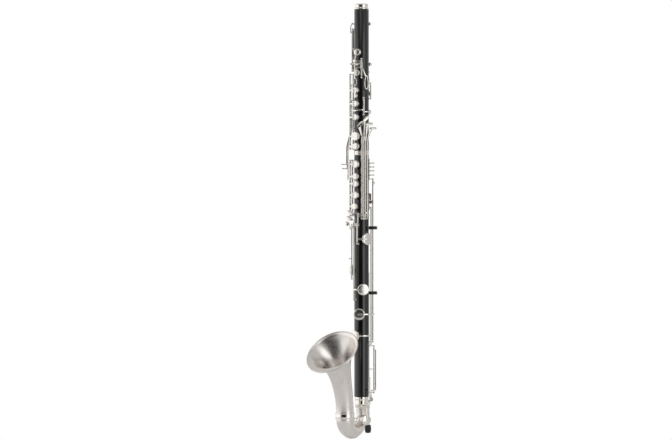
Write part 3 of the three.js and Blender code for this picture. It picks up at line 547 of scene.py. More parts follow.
def hoop(centre, across, radius, sides):
    """A circle in the plane of LEFT and `across`."""
    return [centre + LEFT * (radius * cos) + across * (radius * sin) for cos, sin in circle(sides)]


def sections(line, radii, sides):
    """Circles round a line that lies in the plane x = 0."""
    rings, last = [], len(line) - 1
    for i, (centre, radius) in enumerate(zip(line, radii)):
        way = (line[min(i + 1, last)] - line[max(i - 1, 0)]).normalized()
        rings.append(hoop(centre, way.cross(LEFT), radius, sides))
    return rings


def pipe(line, radius_at, wall, sides, lip=0):
    """A tube along a line, with a rolled bead round its far end where `lip` is set."""
    last = len(line) - 1
    radii = [radius_at(i / last) for i in range(last + 1)]
    outside = sections(line, radii, sides)
    inside = sections(line, [r - wall for r in radii], sides)
    if not lip:
        return Shape().loft([*outside, *reversed(inside)], closed=True)
    way = (line[-1] - line[-2]).normalized()
    centre, across = line[-1] - way * lip, way.cross(LEFT)
    bead = []
    for k in range(11, 0, -1):
        turn = math.pi * (1.12 - 1.5 * k / 12)
        radius = radii[-1] - wall / 2 - 0.2 + lip * (0.35 - 1.0 * math.cos(turn))
        bead.append(hoop(centre + way * (lip * math.sin(turn)), across, radius, sides))
    return Shape().loft([*outside[:-2], *bead, *reversed(inside[:-1])], closed=True)


bow = pipe(bow_line(120), bow_radius, BOW["wall"], 64)
LOW_C_CUP = {"angle": 65, "z": -1080, "r": 13.5, "hole": 8.5, "seat": 20.5, "top": 28.5}
hole, seat = LOW_C_CUP["hole"], LOW_C_CUP["seat"]
bow.stud([(hole, 11), (hole + 1.7, 11), (hole + 1.7, 19.6), (hole + 1.2, seat), (hole + 0.2, seat),
          (hole, 20)], LOW_C_CUP["angle"], LOW_C_CUP["z"], closed=True)
for centre, radius, height in ((BOW_TOP - 4, 14.2, 3), (BOW_TOP - 9, 13.6, 1.2)):
    bow.turned([(12.6, 0), (radius - 0.4, 0), *beads(0.1, height - 0.1, radius - 0.3, 0.55, 1),
                (radius - 0.4, height), (12.6, height)], Vector((0, 0, centre)), UP, 64, closed=True)
piece("bow_tube", bow, "bell_metal", node="bow", sharp=50)


def wear_plate():
    """The shield on the outside of the bend, rounded at both ends and across."""
    line = bow_line(100)
    rings = []
    for i in range(41, 80):
        share = i / 100
        way = (line[i + 1] - line[i - 1]).normalized()
        away = way.cross(LEFT)
        away = away if away.dot(line[i] - Vector((0, -BOW["radius"], BOW["bend"]))) > 0 else -away
        reach = min(1, 4.5 * min(i - 40, 80 - i) / 20) ** 0.6
        radius, half = bow_radius(share), 6.5 * reach + 0.4
        spread = half / (radius + 1)
        crown = [(k / 6 - 1, 1.1 * reach * max(1 - (k / 6 - 1) ** 4, 0) + 0.35) for k in range(13)]
        rings.append([line[i] + away * ((radius + lift) * math.cos(spread * side))
                      + LEFT * ((radius + lift) * math.sin(spread * side))
                      for side, lift in [*crown, (0.5, -0.5), (0, -0.5), (-0.5, -0.5)]])
    return Shape().loft(rings)


piece("bow_wear_plate", wear_plate(), "ring_metal")
piece("low_c_tone_hole", Shape().stud([(hole - 0.1, 15.6), (hole - 0.1, 16.2)],
                                      LOW_C_CUP["angle"], LOW_C_CUP["z"], 32), "shadow")

foot, top = levels("bell_ferrule")
collar("ferrule_bands", "bell_ferrule", [
    (23.4, foot), (23.9, foot), *beads(foot + 0.2, foot + 3.6, 23.9, 0.75, 1), (24.1, foot + 4.4),
    (24.2, foot + 14.4), *beads(top - 3.8, top - 0.3, 23.9, 0.9, 1), (23.9, top), (23.4, top),
], Vector((0, BELL_Y, 0)))
piece("bell_flare", pipe(bell_line(72), bell_radius, BELL["wall"], 96, 1.7), "bell_metal",
      node="bell", sharp=60)
bell_rings = Shape()
for centre in bell_line(72)[3:6:2]:
    bell_rings.turned([(22.2, -0.5), (23.15, -0.4), (23.4, 0), (23.15, 0.4), (22.2, 0.5)],
                      centre + UP * 6, UP, 80, closed=True)
piece("bell_engraved_rings", bell_rings, "ring_metal")

# The strut between the bow's legs, with a curl in its middle.
brace = Shape()
brace.leaf(Vector((5, -36, -1079)), LEFT, BACK, 6.5, 6.5, 3, hole=2.4)
for line in (((-30.4, -1076.8), (-24, -1073.5), (-13.6, -1066)),
             ((-41.6, -1077.4), (-46, -1075), (BELL_Y + 25.4, -1071.5))):
    brace.bar(spline([Vector((5, y, z)) for y, z in line]), 2.6, 2.8, LEFT, end=1.25)
piece("bow_brace", brace, "keywork", node="bell_brace")


# ---------- screws ----------
def screw(shape, slots, centre, axis, radius=1.5, height=0.7):
    """A low domed screw head with its slot as a dark strip of its own."""
    shape.turned([(radius, -0.4), (radius, height * 0.5), (radius * 0.8, height * 0.85),
                  (0.05, height)], centre, axis, 20)
    across = square_to(UP if abs(axis.z) < 0.8 else LEFT, axis.normalized())
    top = centre + axis.normalized() * (height + 0.02)
    slots.bar([top - across * radius * 0.8, top + across * radius * 0.8], 0.32, 0.16, axis, sides=8)


heads, slots = Shape(), Shape()

# ---------- supports on the back ----------
angle, z = 172, -512  # the thumb rest
face, across = outward(angle), outward(angle + 90)
rest = Shape()
rest.bar(upright(angle, (20.8, z - 24.5), (20.8, z - 5), (20.8, z + 14.5)), 14.6, 2.8, face)
rest.bar(spline(upright(angle, (21, z + 5), (26, z + 1.2), (33, z + 0.8), (38, z - 0.8),
                        (39.8, z - 6.6)), 8), 14, 2.7, UP + face * 0.4)
rest.bar(upright(angle, (21, z + 6), (29, z + 6), (36.6, z + 6)), 32.6, 2.2, across, 0.86, power=12)
rest.leaf(at(angle, 27.5, z - 17), across, face, 6.4, 6.4, 2.8, hole=2.2)
piece("thumb_rest_hook", rest, "keywork", node="thumb_rest")
cork = Shape().bar(spline(upright(angle, (24.5, z - 0.9), (32, z - 1.7), (36.6, z - 3))),
                   12.6, 1.6, UP + face * 0.3)
for side in (-1.35, 1.35):
    line = upright(angle, (23.4, z + 6.4), (29, z + 6.4), (35.2, z + 6.4))
    cork.bar([p + across * side for p in line], 27, 0.7, across * side, 0.88, power=10)
piece("thumb_rest_cork", cork, "cork")
for lift in (11.5, -9.5):
    screw(heads, slots, at(angle, 22.2, z + lift), face, 2.1)

peg_place = Vector((0, (low("floor_peg").y + high("floor_peg").y) / 2, 0))
SOCKET = {"top": -972, "bottom": -1043, "screw": hinge("peg_thumbscrew").z}
PEG_R = 3.9
GROOVES = 26  # round the thumbscrew's head


def peg_at(z_level, y=0):
    return Vector((0, peg_place.y + y, z_level))


socket = Shape()
span = SOCKET["top"] - SOCKET["bottom"]
socket.turned([
    (4.3, 0), (6.3, 0), *beads(0.2, 3.4, 6.35, 0.5, 1), (6.3, 4), (6.2, span - 20),
    *beads(span - 19.6, span - 17.4, 6.2, 0.45, 1), (6.2, span - 16.8), (6.2, span - 4),
    *beads(span - 3.6, span - 0.3, 6.35, 0.5, 1), (6, span), (4.3, span),
], peg_at(SOCKET["bottom"]), UP, 48, closed=True)
socket.bar(upright(180, (20.9, -1011.8), (20.9, -968.2)), 17, 2.8, BACK)
for z, thick in ((-1009, 3), (-991, 4), (-974, 4)):
    socket.bar(upright(180, (21, z), (25.5, z)), 6.4, thick, UP)
socket.bar(upright(180, (21, -1008), (21, -975)), 6, 8.2, BACK)
socket.turned([(2.8, 0), (4.4, 0), (4.2, 1.2), (3.9, 3.6), (4.2, 4.4), (4, 4.8), (2.8, 4.8)],
              peg_at(SOCKET["screw"], 5.2), BACK, 36, closed=True)
piece("peg_block", socket, "keywork", node="peg_socket")
for z, x in ((-971.5, -6), (-971.5, 6), (-1008.5, -6), (-1008.5, 6)):
    screw(heads, slots, Vector((x, 22.2, z)), BACK, 1.4)

thumb = Shape().rod(peg_at(SOCKET["screw"], 4.5), peg_at(SOCKET["screw"], 11), 2.2)
rim = []
for height, radius in ((10.6, 5), (10.7, 5.7), (11.3, 6.15), (14.9, 6.15), (15.4, 5.7),
                       (15.6, 4.6), (15.1, 3.4), (15, 0.1)):
    ring = []
    for k, (cos, sin) in enumerate(circle(GROOVES * 4)):
        r = radius + (0.22 * (math.cos(math.pi * k / 2) - 1) if radius > 6 else 0)
        ring.append(peg_at(SOCKET["screw"] + r * cos, height) + LEFT * (r * sin))
    rim.append(ring)
piece("thumbscrew_head", thumb.loft(rim), "steel", body="peg_thumbscrew", node="peg_thumbscrew")

foot, top = levels("floor_peg")
length = top - foot
profile = [(3, 0), *[(PEG_R, h) for h in (0.8, length * 0.25, length * 0.5, length * 0.75)]]
profile += [(max(PEG_R * math.cos(t), 0.05), length - 4 + PEG_R * math.sin(t))
            for t in (0, 0.3, 0.6, 0.9, 1.2, 1.45, 1.56)]
piece("peg_rod", Shape().turned(profile, peg_at(foot), UP, 40), "steel", body="floor_peg",
      node="floor_peg")
foot, top = levels("peg_tip")
reach = top - foot
piece("peg_rubber_tip", Shape().turned([
    (5.4, 0), (6.2, 0.5), (7.3, 2.6), (8.1, 6), (8.4, 9.6), (8.35, 12), (8, 14.2),
    (7.8, 14.6), (8, 15), (7.9, 16.6), (7.5, 17), (7.7, 17.4), (7.5, 18.8), (7.1, 19.5),
    (6.6, reach), (4.2, reach), (4.2, reach - 1.2), (0.05, 19.4),
], peg_at(foot), UP, 56), "rubber", body="floor_peg", node="peg_tip")


# ---------- hinge lines: posts with the steel rods that they carry ----------
def place_on(line, z):
    return at(line[0], line[1], z)


def strap(shape, start, stop, z):
    shape.bar(around(*[(start + (stop - start) * k / 4, BODY_R + 1, z) for k in range(5)], steps=4),
              6.2, 1.1)


def posts(node, name, lines, ball=2.4, bases=()):
    """One fitting: every line is (angle, radius, post heights); a base is a strap under
    several posts as (from angle, to angle, height)."""
    metal, rods = Shape(), Shape()
    for line in lines:
        angle, _, heights = line
        for z in heights:
            post(metal, at(angle, BODY_R + 0.4, z), place_on(line, z), ball)
        rods.rod(place_on(line, heights[0] + 1.5), place_on(line, heights[-1] - 1.5))
        for end, way in ((heights[0], 1), (heights[-1], -1)):
            screw(metal, slots, place_on(line, end + way * (ball - 0.35)), UP * way, 1.25, 0.5)
    for start, stop, z in bases:
        strap(metal, start, stop, z)
        for angle in (start + 2.5, stop - 2.5):
            screw(heads, slots, at(angle, BODY_R + 1.5, z), outward(angle), 1.1, 0.4)
    piece(name + "_posts", metal, "keywork", node=node)
    piece(name + "_rods", rods, "steel")


ROWS = [(line_angle(f"lh_pinky_key_{i}"), 25, [-350, -557]) for i in (1, 2, 3, 4)]
THUMB = (125, 29.5, [-455, -878])
THUMB_HIGH = (162, 25, [-404, -455])
THUMB_INNER = (110, 26, [-530, -884])
ROCKER = {"angle": 2, "r": 33.2, "z": -157}
TOUCH = {"r": 25.6, "z": -176}
REGISTER = (-55, 24.5, [-66, -118, -174])
LINKAGES = ((-68, 22, [-66, -118, -174]), (-58, 21.8, [-184, -267, -323, -377]),
            (-66, 24.4, [-407, -455, -505, -550]))
posts("register_hinge", "register_line", [REGISTER, LINKAGES[0]])
posts("upper_stack_hinge", "upper_stack", [(-50, 30, [-184, -267, -323, -377]), LINKAGES[1]], 2.7)
posts("sliver_hinge", "sliver_line", [(48, 25, [-245, -288])])
posts("side_key_hinge", "side_keys", [(-100, 25, [-196, -236, -276, -316])])
posts("lower_stack_hinge", "lower_stack", [(-50, 30, [-407, -455, -505, -550]), LINKAGES[2]], 2.7)
posts("low_rod_hinge", "low_rod", [(125, 32.6, [-889, -949, -1010])])
posts("lh_pinky_hinges", "left_little_finger", ROWS, 2, [(31, 75, -350), (31, 75, -557)])
posts("rh_pinky_hinges", "right_little_finger",
      [(9, 27, [-574, -623]), (-14, 27, [-574, -768]), (-38, 27, [-574, -714])],
      bases=[(-43, 14, -574)])
posts("thumb_key_hinges", "right_thumb", [THUMB, THUMB_INNER, THUMB_HIGH],
      bases=[(105, 130, -881), (120, 166, -455)])

# Second tubes close to the wood, beside the stacks and the register line, one for each span.
link = Shape()
for line, outer in zip(LINKAGES, (2, 1.8, 2.4)):
    for upper, lower in zip(line[2], line[2][1:]):
        link.tube(place_on(line, lower + 3), place_on(line, upper - 3), outer)
piece("linkage_tubes", link, "keywork")


def cross_posts(node, name, line, ends, feet, base, ball=2.2):
    """A short rod across the body on two posts, with one upright hinge line beside it."""
    metal, rods = Shape(), Shape()
    angle, _, heights = line
    for z in heights:
        post(metal, at(angle, BODY_R + 0.4, z), place_on(line, z))
    rods.rod(place_on(line, heights[0]), place_on(line, heights[-1]))
    for head, foot_point in zip(ends, feet):
        post(metal, foot_point, head, ball, 1.25, 2.2)
    rods.rod(*ends)
    strap(metal, *base)
    piece(name + "_posts", metal, "keywork", node=node)
    piece(name + "_rods", rods, "steel")


def rocker_end(offset, radius=ROCKER["r"]):
    return at(ROCKER["angle"], radius, ROCKER["z"]) + outward(ROCKER["angle"] + 90) * offset


cross_posts("throat_key_hinges", "throat_keys", (34, 25, [-144, -192]),
            [rocker_end(-6), rocker_end(6)], [rocker_end(-6, 19), rocker_end(6, 19)],
            (-20, 38, -157))
cross_posts("left_thumb_hinges", "left_thumb", (128, 23.6, [-206, -246]),
            [Vector((x, TOUCH["r"], TOUCH["z"])) for x in (-6, 6)],
            [Vector((x, 19.8, TOUCH["z"])) for x in (-6, 6)], (124, 200, -206), 2.1)
rails = Shape()
for x in (-6, 6):
    rails.bar([Vector((x, 20.1, -206)), Vector((x, 20.1, -174))], 3, 1.1, BACK)
piece("left_thumb_rails", rails, "keywork")

# Black guides that hold the long thumb rods to the wood: a curved foot, a long tongue with
# round ends, and a bored boss round each tube.
for node, name in (("rod_bracket_upper", "rod_guide_upper"), ("rod_bracket_lower", "rod_guide_lower")):
    guide = Shape()
    middle = (low(node).z + high(node).z) / 2
    guide.bar(around(*[(80 + 54 * k / 5, 21.2, middle) for k in range(6)], steps=4), 8.4, 3.4)
    for angle in (106, 116, 126):
        guide.bar([at(angle, 20.5, middle), at(angle, 31, middle), at(angle, 39.5, middle)],
                  8.2, 4.6, outward(angle + 90), end=0.9)
    guide.turned([(0.05, -4.1), (5.2, -4.1), (5.6, -3.5), (5.6, 3.5), (5.2, 4.1), (0.05, 4.1)],
                 at(121, 35.4, middle), UP, 36)
    for angle, radius, _ in (THUMB, THUMB_INNER):
        guide.turned([(2.6, -4.2), (4, -4.2), (4.4, -3.7), (4.4, 3.7), (4, 4.2), (2.6, 4.2)],
                     at(angle, radius, middle), UP, 36, closed=True)
    piece(name, guide, "black_guide", node=node)
    screw(heads, slots, at(86, 22.9, middle), outward(86), 1.7)
    screw(heads, slots, at(121, 35.4, middle + 4), UP, 1.6)
    screw(heads, slots, at(103.4, 36, middle), outward(30), 1.5)


# ---------- keys ----------
def rest_turn(body):
    """The turn that raises an open-standing key from its closed place."""
    joint = JOINTS[body]
    degrees = -joint["range_deg"][1]
    return hinge(body), Matrix.Rotation(math.radians(degrees), 3, Vector(joint["axis"]))


class Key:
    """A key: its metal, its pad, its cork and its spring, all on one body."""

    def __init__(self, node, opens=False):
        self.node = node
        self.metal, self.pads, self.corks, self.spring = Shape(), Shape(), Shape(), Shape()
        self.turn = rest_turn(node) if opens else None

    def on(self, z):
        return on_line(self.node, z)

    def bands(self, half, proud, *heights):
        """Rings round the hinge tube, `half` of each above its level."""
        for z in heights:
            self.metal.tube(self.on(z - half), self.on(z + half), TUBE_R + proud, TUBE_R - 0.1)
        return self

    def tube(self, bottom, top, radius=TUBE_R):
        """The hinge tube, with a shoulder ring at each end."""
        self.metal.tube(self.on(bottom), self.on(top), radius)
        for z in (bottom + 0.5, top - 1.7):
            self.metal.tube(self.on(z), self.on(z + 1.2), radius + 0.28, radius - 0.1)
        return self

    def spring_from(self, z, reach, side=1):
        """A needle spring beside the tube, from a post towards the key."""
        angle = line_angle(self.node)
        way = outward(angle + 90) * side
        start = at(angle, line_radius(self.node) - 1.9, z)
        line = spline([start + way * 0.4, start + way * 1.5 + UP * reach * 0.5,
                       start + way * 2.3 + UP * reach], 5)
        self.spring.bar(line, 0.55, 0.55, way, end=0.5, power=2, sides=8)
        return self

    def cup(self, style="dome", place=None):
        angle, z, r, *rest = place or CUPS[self.node]
        top = rest[0] if rest else CUP_TOP
        rim = PAD_SEAT + 1.3
        wall = [(r - 1.3, rim), (r - 0.35, rim), (r, rim + 0.35), (r + 0.05, rim + 1.1),
                (r - 0.3, rim + 1.5), (r - 0.38, top - 2)]
        if style == "plate":
            wall += [(r - 0.75, top - 1), (r - 1.3, top - 0.35), (r - 2, top),
                     (r - 2.7, top - 0.1), (r - 3.5, top - 0.6), (r * 0.35, top - 1.05),
                     (0.05, top - 1.1)]
        else:
            wall += [(r - 0.7, top - 1.35), (r - 1.4, top - 0.85), (r - 2.3, top - 0.55),
                     (r * 0.55, top - 0.25), (r * 0.25, top - 0.05), (0.05, top)]
        self.metal.stud(wall, angle, z, 56)
        self.pads.stud([(0.05, PAD_SEAT), (r - 2.4, PAD_SEAT), (r - 1.3, PAD_SEAT + 0.3),
                        (r - 0.8, PAD_SEAT + 0.9), (r - 0.9, rim + 0.3), (0.05, rim + 0.4)],
                       angle, z, 44)
        return self

    def arm(self, stops, width, thick, face=None, end=1, steps=6):
        self.metal.bar(spline(stops, steps), width, thick, face, end)
        return self

    def rib(self, stops, width, thick, end=1):
        """An arm that lies round the body through (angle, radius, z) stops."""
        self.metal.bar(around(*stops), width, thick, None, end)
        return self

    def wrap(self, z, stops, width, thick, end=1):
        """A rib at one height, through (angle, radius) stops."""
        return self.rib([(angle, radius, z) for angle, radius in stops], width, thick, end)

    def stalk(self, angle, z, bottom, top, width, thick, lean=0):
        foot, head = at(angle, bottom, z), at(angle + lean, top, z)
        self.metal.bar([foot, (foot + head) / 2, head], width, thick, UP, 0.92)
        return self

    def leaf(self, *args, **kwargs):
        self.metal.leaf(*args, **kwargs)
        return self

    def foot(self, centre, axis, size=2, height=1.2):
        """A cork block glued under the metal."""
        self.corks.turned([(size - 0.2, 0), (size, 0.2), (size, height - 0.2), (size - 0.3, height)],
                          centre, axis, 20)
        return self

    def done(self):
        piece(self.node + "_metal", self.metal, "keywork", self.node, self.node, self.turn)
        for shape, suffix, look in ((self.pads, "_pad", "pad"), (self.corks, "_cork", "cork"),
                                    (self.spring, "_spring", "blued")):
            if shape.faces:
                piece(self.node + suffix, shape, look, self.node, turn=self.turn)


def stack_arm(key):
    """From a stack's tube down onto the side of the key's cup."""
    angle, z, r, *_ = CUPS[key.node]
    line, width = line_angle(key.node), 5
    goal = at(angle, 28.2, z) + outward(angle - 90) * (r * 0.35)
    edge = at(angle, 27.8, z) + outward(angle - 90) * (r + 0.4)
    start = at(line + 3, line_radius(key.node) + 0.9, z)
    key.arm([start, start.lerp(edge, 0.5) + outward(line + 14) * 0.5, edge, goal],
            width, 2.4, outward(angle - 24), 0.6)
    return key.bands(width * 0.62, 0.75, z)


STACK_TUBE_R = 2.5
STACKS = [  # node, foot and head of its tube, plate under a finger or vent
    ("lh1_plate", -243, -187.5, "plate"), ("lh2_plate", -263.5, -243.5, "plate"),
    ("lh3_plate", -319.5, -270.5, "plate"), ("upper_vent_large", -355, -326.5, "dome"),
    ("upper_vent_small", -373.5, -355.5, "dome"), ("rh1_plate", -429.5, -410.5, "plate"),
    ("rh_vent_high", -451.5, -430, "dome"), ("rh2_plate", -477.5, -458.5, "plate"),
    ("rh3_plate", -501.5, -478, "plate"), ("rh_vent_low", -546.5, -508.5, "dome"),
]
for node, bottom, top, style in STACKS:
    key = stack_arm(Key(node, opens=True).tube(bottom, top, STACK_TUBE_R).cup(style))
    key.spring_from(top - 1.5, -min(14, (top - bottom) * 0.6))
    if node == "lh1_plate":
        key.cup(place=(0, -240, 5.6, 28.4)).rib([(0, 27.2, -231), (0, 27.2, -236.5)], 5, 2.4)
        key.metal.turned([(0.9, 0), (1.7, 0), (1.9, 0.5), (1.4, 1.2), (0.9, 1.2)],
                         at(0, CUP_TOP - 1.3, -225), outward(0), 24, closed=True)
    key.done()

vent = Shape().turned([(0.05, 0), (0.85, 0), (0.85, 0.5), (0.05, 0.5)],
                      at(0, CUP_TOP - 1.25, -225), outward(0), 16)
piece("lh1_vent_hole", vent, "shadow", "lh1_plate", turn=rest_turn("lh1_plate"))

# Register keys: vents on the back, reached round the far side of the body.
for node, bottom, top, z, radius in (("upper_register_key", -114.5, -69.5, -51, 23.7),
                                     ("lower_register_key", -170.5, -121.5, -156, 28.6)):
    key = Key(node).tube(bottom, top).cup()
    key.rib([(-55 - 15 * k - (4 if k == 10 else 0), radius, z) for k in range(11)], 4, 2.1)
    if node == "upper_register_key":
        key.arm(upright(-55, (24, -50), (26, -54.5), (28.6, -61), (28.6, -76)),
                3, 2.3, outward(-55))
        key.stalk(-55, -73, 25.8, 28.6, 4.6, 3)
    else:
        key.stalk(-55, -156, 25.8, 29, 4, 4)
    key.spring_from(bottom + 1.5, 14, -1).done()

key = Key("register_touch")
key.metal.tube(*[Vector((x, TOUCH["r"], TOUCH["z"])) for x in (-2.9, 2.9)], 2.1)
key.arm(upright(180, (26.6, -174.6), (26.2, -165), (25.2, -154.8)), 4, 2, BACK, 0.7)
key.arm(upright(180, (26.8, -177.5), (27.5, -184), (27.7, -190)), 4, 2.2, BACK)
key.leaf(at(180, 27.8, -196), BACK, -UP, 10, 6, 2.2, taper=0.12, crown=0.8)
key.foot(at(180, 24.6, -158), -BACK, 1.7, 1).done()

# Throat keys.
key = Key("throat_a_key").cup()
key.metal.tube(rocker_end(-2.8), rocker_end(2.8), 2.2)
key.rib([(9, 32.8, -128), (6, 33.3, -142), (2, 33.6, -154.6)], 3, 2.2)
key.rib([(2, 33.6, -159.4), (2, 33.2, -176), (2.6, 33, -195)], 3, 2.2)
key.leaf(at(4.5, 33, -204), outward(4), UP, 10.4, 5, 2.2, hole=2)
key.done()

key = Key("throat_g_sharp_key").tube(-188.5, -147.5).cup()
key.arm([at(31, 27, -166.5), at(18, 28, -166.8), at(6, 28, -168.5), at(3.6, 28, -176)], 3.2, 2.2)
key.rib([(30, 27, -150), (12, 28, -150), (-6, 27.8, -149.6)], 2.6, 2)
key.leaf(at(-9, 27.7, -149.5), outward(-9), UP, 4, 4, 2)
key.rib([(37, 27, -167), (46, 28.2, -177), (56, 28.7, -189)], 3.2, 2.3)
key.leaf(at(61, 28.5, -205), outward(61), UP, 18.8, 5.7, 2.2, hole=2.2, taper=-0.25)
key.metal.tube(key.on(-170), key.on(-153), 2.7, 1.9)
key.spring_from(-187, 14).foot(at(20, 25.2, -166.8), outward(200), 1.5).done()

# The sliver key lies between the second and third left-hand plates.
key = Key("sliver_key").tube(-284.5, -248.5).cup()
key.rib([(44, 27, -276), (34, 28.4, -276.4), (18, 28.4, -277), (-1, 27.7, -278)], 3, 2)
key.leaf(at(-8, 27.7, -278), outward(-8), outward(82), 10, 2.7, 2, crown=0.7)
key.wrap(-281, [(51, 26.4), (66, 27), (84, 27.2), (97, 26.3)], 3, 2.2)
key.spring_from(-250, -14).done()

# Side keys: long levers down the player's right, to touches beside the lower stack.
for node, bottom, top, angle, end, touch in (("side_key_1", -232.5, -199.5, -66, -418, 12),
                                             ("side_key_2", -272.5, -239.5, -74, -429, 12),
                                             ("side_key_3", -312.5, -279.5, -82, -449, 0)):
    z = CUPS[node][1]
    start = z + 6
    key = Key(node).tube(bottom, top).cup()
    key.wrap(z, [(-103, 26.4), (-114, 27.2), (-128, 26.8), (-135, 26.6)], 4, 2.4, 0.75)
    key.rib([(-99, 26.2, start), (-97, 28.5, start), (angle - 9, 28.6, start),
             (angle - 2.4, 28.5, start - 1), (angle - 0.4, 28.5, start - 6),
             (angle, 28.5, start - 12)], 3, 2.3)
    middle = -300 if start > -280 else -312
    key.arm(upright(angle, (28.5, start - 8), (28.5, middle), (28.6, -326), (34, -350),
                           (38.8, -371), (39.4, -390), (39.5, end)), 2.8, 3, outward(angle))
    if touch:
        key.arm(upright(angle, (38.4, end + 1), (45, end + 1), (39.8 + touch, end + 1)),
                4.4, 2.4, UP, 0.9, steps=1)
        key.leaf(at(angle, 39.4 + touch, end + 1), UP, outward(angle), 3.3, 2.5, 2.6)
    else:
        key.leaf(at(angle, 39.5, end), outward(angle), UP, 8.8, 2.8, 2.6, crown=0.7)
    key.foot(at(angle, 26.3, start - 5), outward(angle), 1.3, 1.4)
    key.spring_from(bottom + 1.5, 12, -1).done()

# The keywork for the little fingers is laid out square to a direction 35 degrees round from
# the front: `across` to the left of it, `out` away from the bore.
TURN = 35


def facing(across, out, z):
    place = outward(TURN + 90) * across + outward(TURN) * out
    return Vector((place.x, place.y, z))


FAN = [  # centre, direction of its length, half sizes, the way it faces, how wide its arm grows
    ((-3.6, 31, -314.4), (0.66, 0, 0.7), (10.8, 5.4), (-0.15, 1, 0.2), 3.1),
    ((11.4, 31.6, -299.4), (0.72, -0.2, 0.69), (11.6, 4.5), (0.3, 1, 0.3), 1.6),
    ((19.2, 24.6, -313), (1, -0.4, 0.12), (11.2, 4.8), (0.35, 1, 0.6), 2.3),
    ((29.6, 16.5, -323.4), (1, -0.25, 0.1), (10, 4.3), (0.25, 0.8, 1), 1.7),
]
FEET = [(-546, 17, 29.6), (-551.5, 24, 30.6), (-543, 66, 30), (-550, 84, 27)]
for i, (centre, along, half, lift, flare) in enumerate(FAN):
    key = Key(f"lh_pinky_key_{i + 1}").tube(-553.5, -353.5)
    row = ROWS[i][0]
    middle, way, normal = facing(*centre), facing(*along), facing(*lift)
    elbow = at(row, 30.5, -343)
    tip = middle - way * 0.3 * half[0]
    key.arm([*upright(row, (26.6, -358), (28.6, -351)), elbow], 3.6, 2.4, outward(row))
    key.arm([elbow - UP * 2, elbow.lerp(tip, 0.5), tip], 3.6, 2.1,
            facing(-0.7 if i < 2 else 0.6, 1, 0.2), flare, steps=9)
    key.leaf(middle, normal, square_to(way, normal.normalized()), *half, 2.1, taper=0.1, crown=0.8)
    foot_z, goal, radius = FEET[i]
    key.stalk(row, foot_z, 26.4, radius, 3.2, 3.2)
    key.rib([(row + (goal - row) * k / 4, radius - 0.4, foot_z) for k in range(5)], 3.2, 2.1, 0.85)
    key.foot(at(goal, radius - 2.6, foot_z), outward(goal), 1.5, 1.3)
    key.bands(2, 0.22, -402, -455, -508).spring_from(-356, -16).done()


# Right-hand little finger, with the low cups that these keys move: the foot of each tube, its
# touch (place, half sizes, tilt), the arm from it and its width, the stalk on the tube (angle,
# height, head), the arm to the cup, and the spring.
LITTLE_FINGER = (
    ("rh_pinky_key_1", -619.5, (-28.5, 25.5, -543), (11.2, 5.7), -0.45,
     [facing(-22, 28.6, -543.5), facing(-14, 31.6, -543), facing(-9.4, 32, -548),
      facing(-10, 31.2, -566), facing(-10.8, 30.5, -581)], 3.6, (9, -580, 31.6),
     [(14, 28), (26, 28.6), (42, 30), (56, 30.8), (69, 30)], (-618, 14)),
    ("rh_pinky_key_2", -764.5, (-31.2, 24, -557.5), (10.4, 5.7), -0.4,
     [facing(-25, 26.6, -559), facing(-20, 29.5, -566), at(-14, 31.2, -575), at(-14, 31, -583)],
     3.3, (-14, -582, 31.8), [(-10, 28.6), (4, 30), (20, 30.6), (34, 30.6), (44, 29.9)], (-763, 15)),
    ("rh_pinky_key_3", -710.5, (-37.5, 19, -571), (6.4, 5.9), 0,
     [facing(-34, 20.4, -572.5), facing(-31, 24, -577), at(-38, 30.8, -585)], 3.2,
     (-38, -584, 31.6), [(-42, 28.4), (-54, 29.4), (-68, 29.8), (-79, 29.6)], (-709, 14, -1)),
)
normal = facing(-0.5, 1, 0.25)
for node, bottom, place, half, tilt, line, width, (angle, z, head), wrap, spring in LITTLE_FINGER:
    key = Key(node).tube(bottom, -577.5).cup()
    along = square_to(facing(1, 0.5, tilt), normal.normalized())
    key.leaf(facing(*place), normal, along, *half, 2.3, taper=-0.12, crown=0.9)
    key.arm(line, width, 2.4, outward(angle)).stalk(angle, z, 28.6, head, 4, 3)
    key.wrap(CUPS[node][1], wrap, 4.6, 2.6, 0.7)
    if node == "rh_pinky_key_3":
        key.arm([at(-38.5, 28.4, -662), at(-44, 33.3, -662)], 3, 2.4, UP, steps=1)
    key.spring_from(*spring).done()

# Right thumb.
key = Key("thumb_key_1").tube(-874.5, -458.5).cup()
key.stalk(125, -806, 31.2, 33.4, 4, 4)
key.rib([(127 - 107 * k / 10, 32.6, -806) for k in range(11)], 4, 2.3)
key.stalk(20, -806, 32.8, 28.6, 4.2, 4.2)
key.stalk(125, -465, 31.2, 33.2, 3.6, 3)
key.wrap(-465, [(122, 33.2), (132, 33.4), (142, 33.6), (151, 33.8)], 4, 2.3)
key.leaf(at(150, 33.6, -465), outward(150), UP, 8, 4.6, 2.2, crown=0.8)
key.bands(2.5, 0.3, -640, -700, -790, -842).spring_from(-872, 18).done()
key = Key("thumb_key_2").tube(-880.5, -533.5).cup()
key.stalk(108, -862, 24.6, 23.6, 4, 3, -5)
key.wrap(-862, [(105, 23.4), (80, 23.4), (50, 23.4), (22, 23.6), (12, 25.4), (4, 26.6)], 4, 2.3)
key.arm([at(110, 27.8, -560), at(118, 31.8, -560)], 3, 2.4, UP, steps=1)
key.bands(2.5, 0.3, -640, -700, -790).spring_from(-878, 18).done()
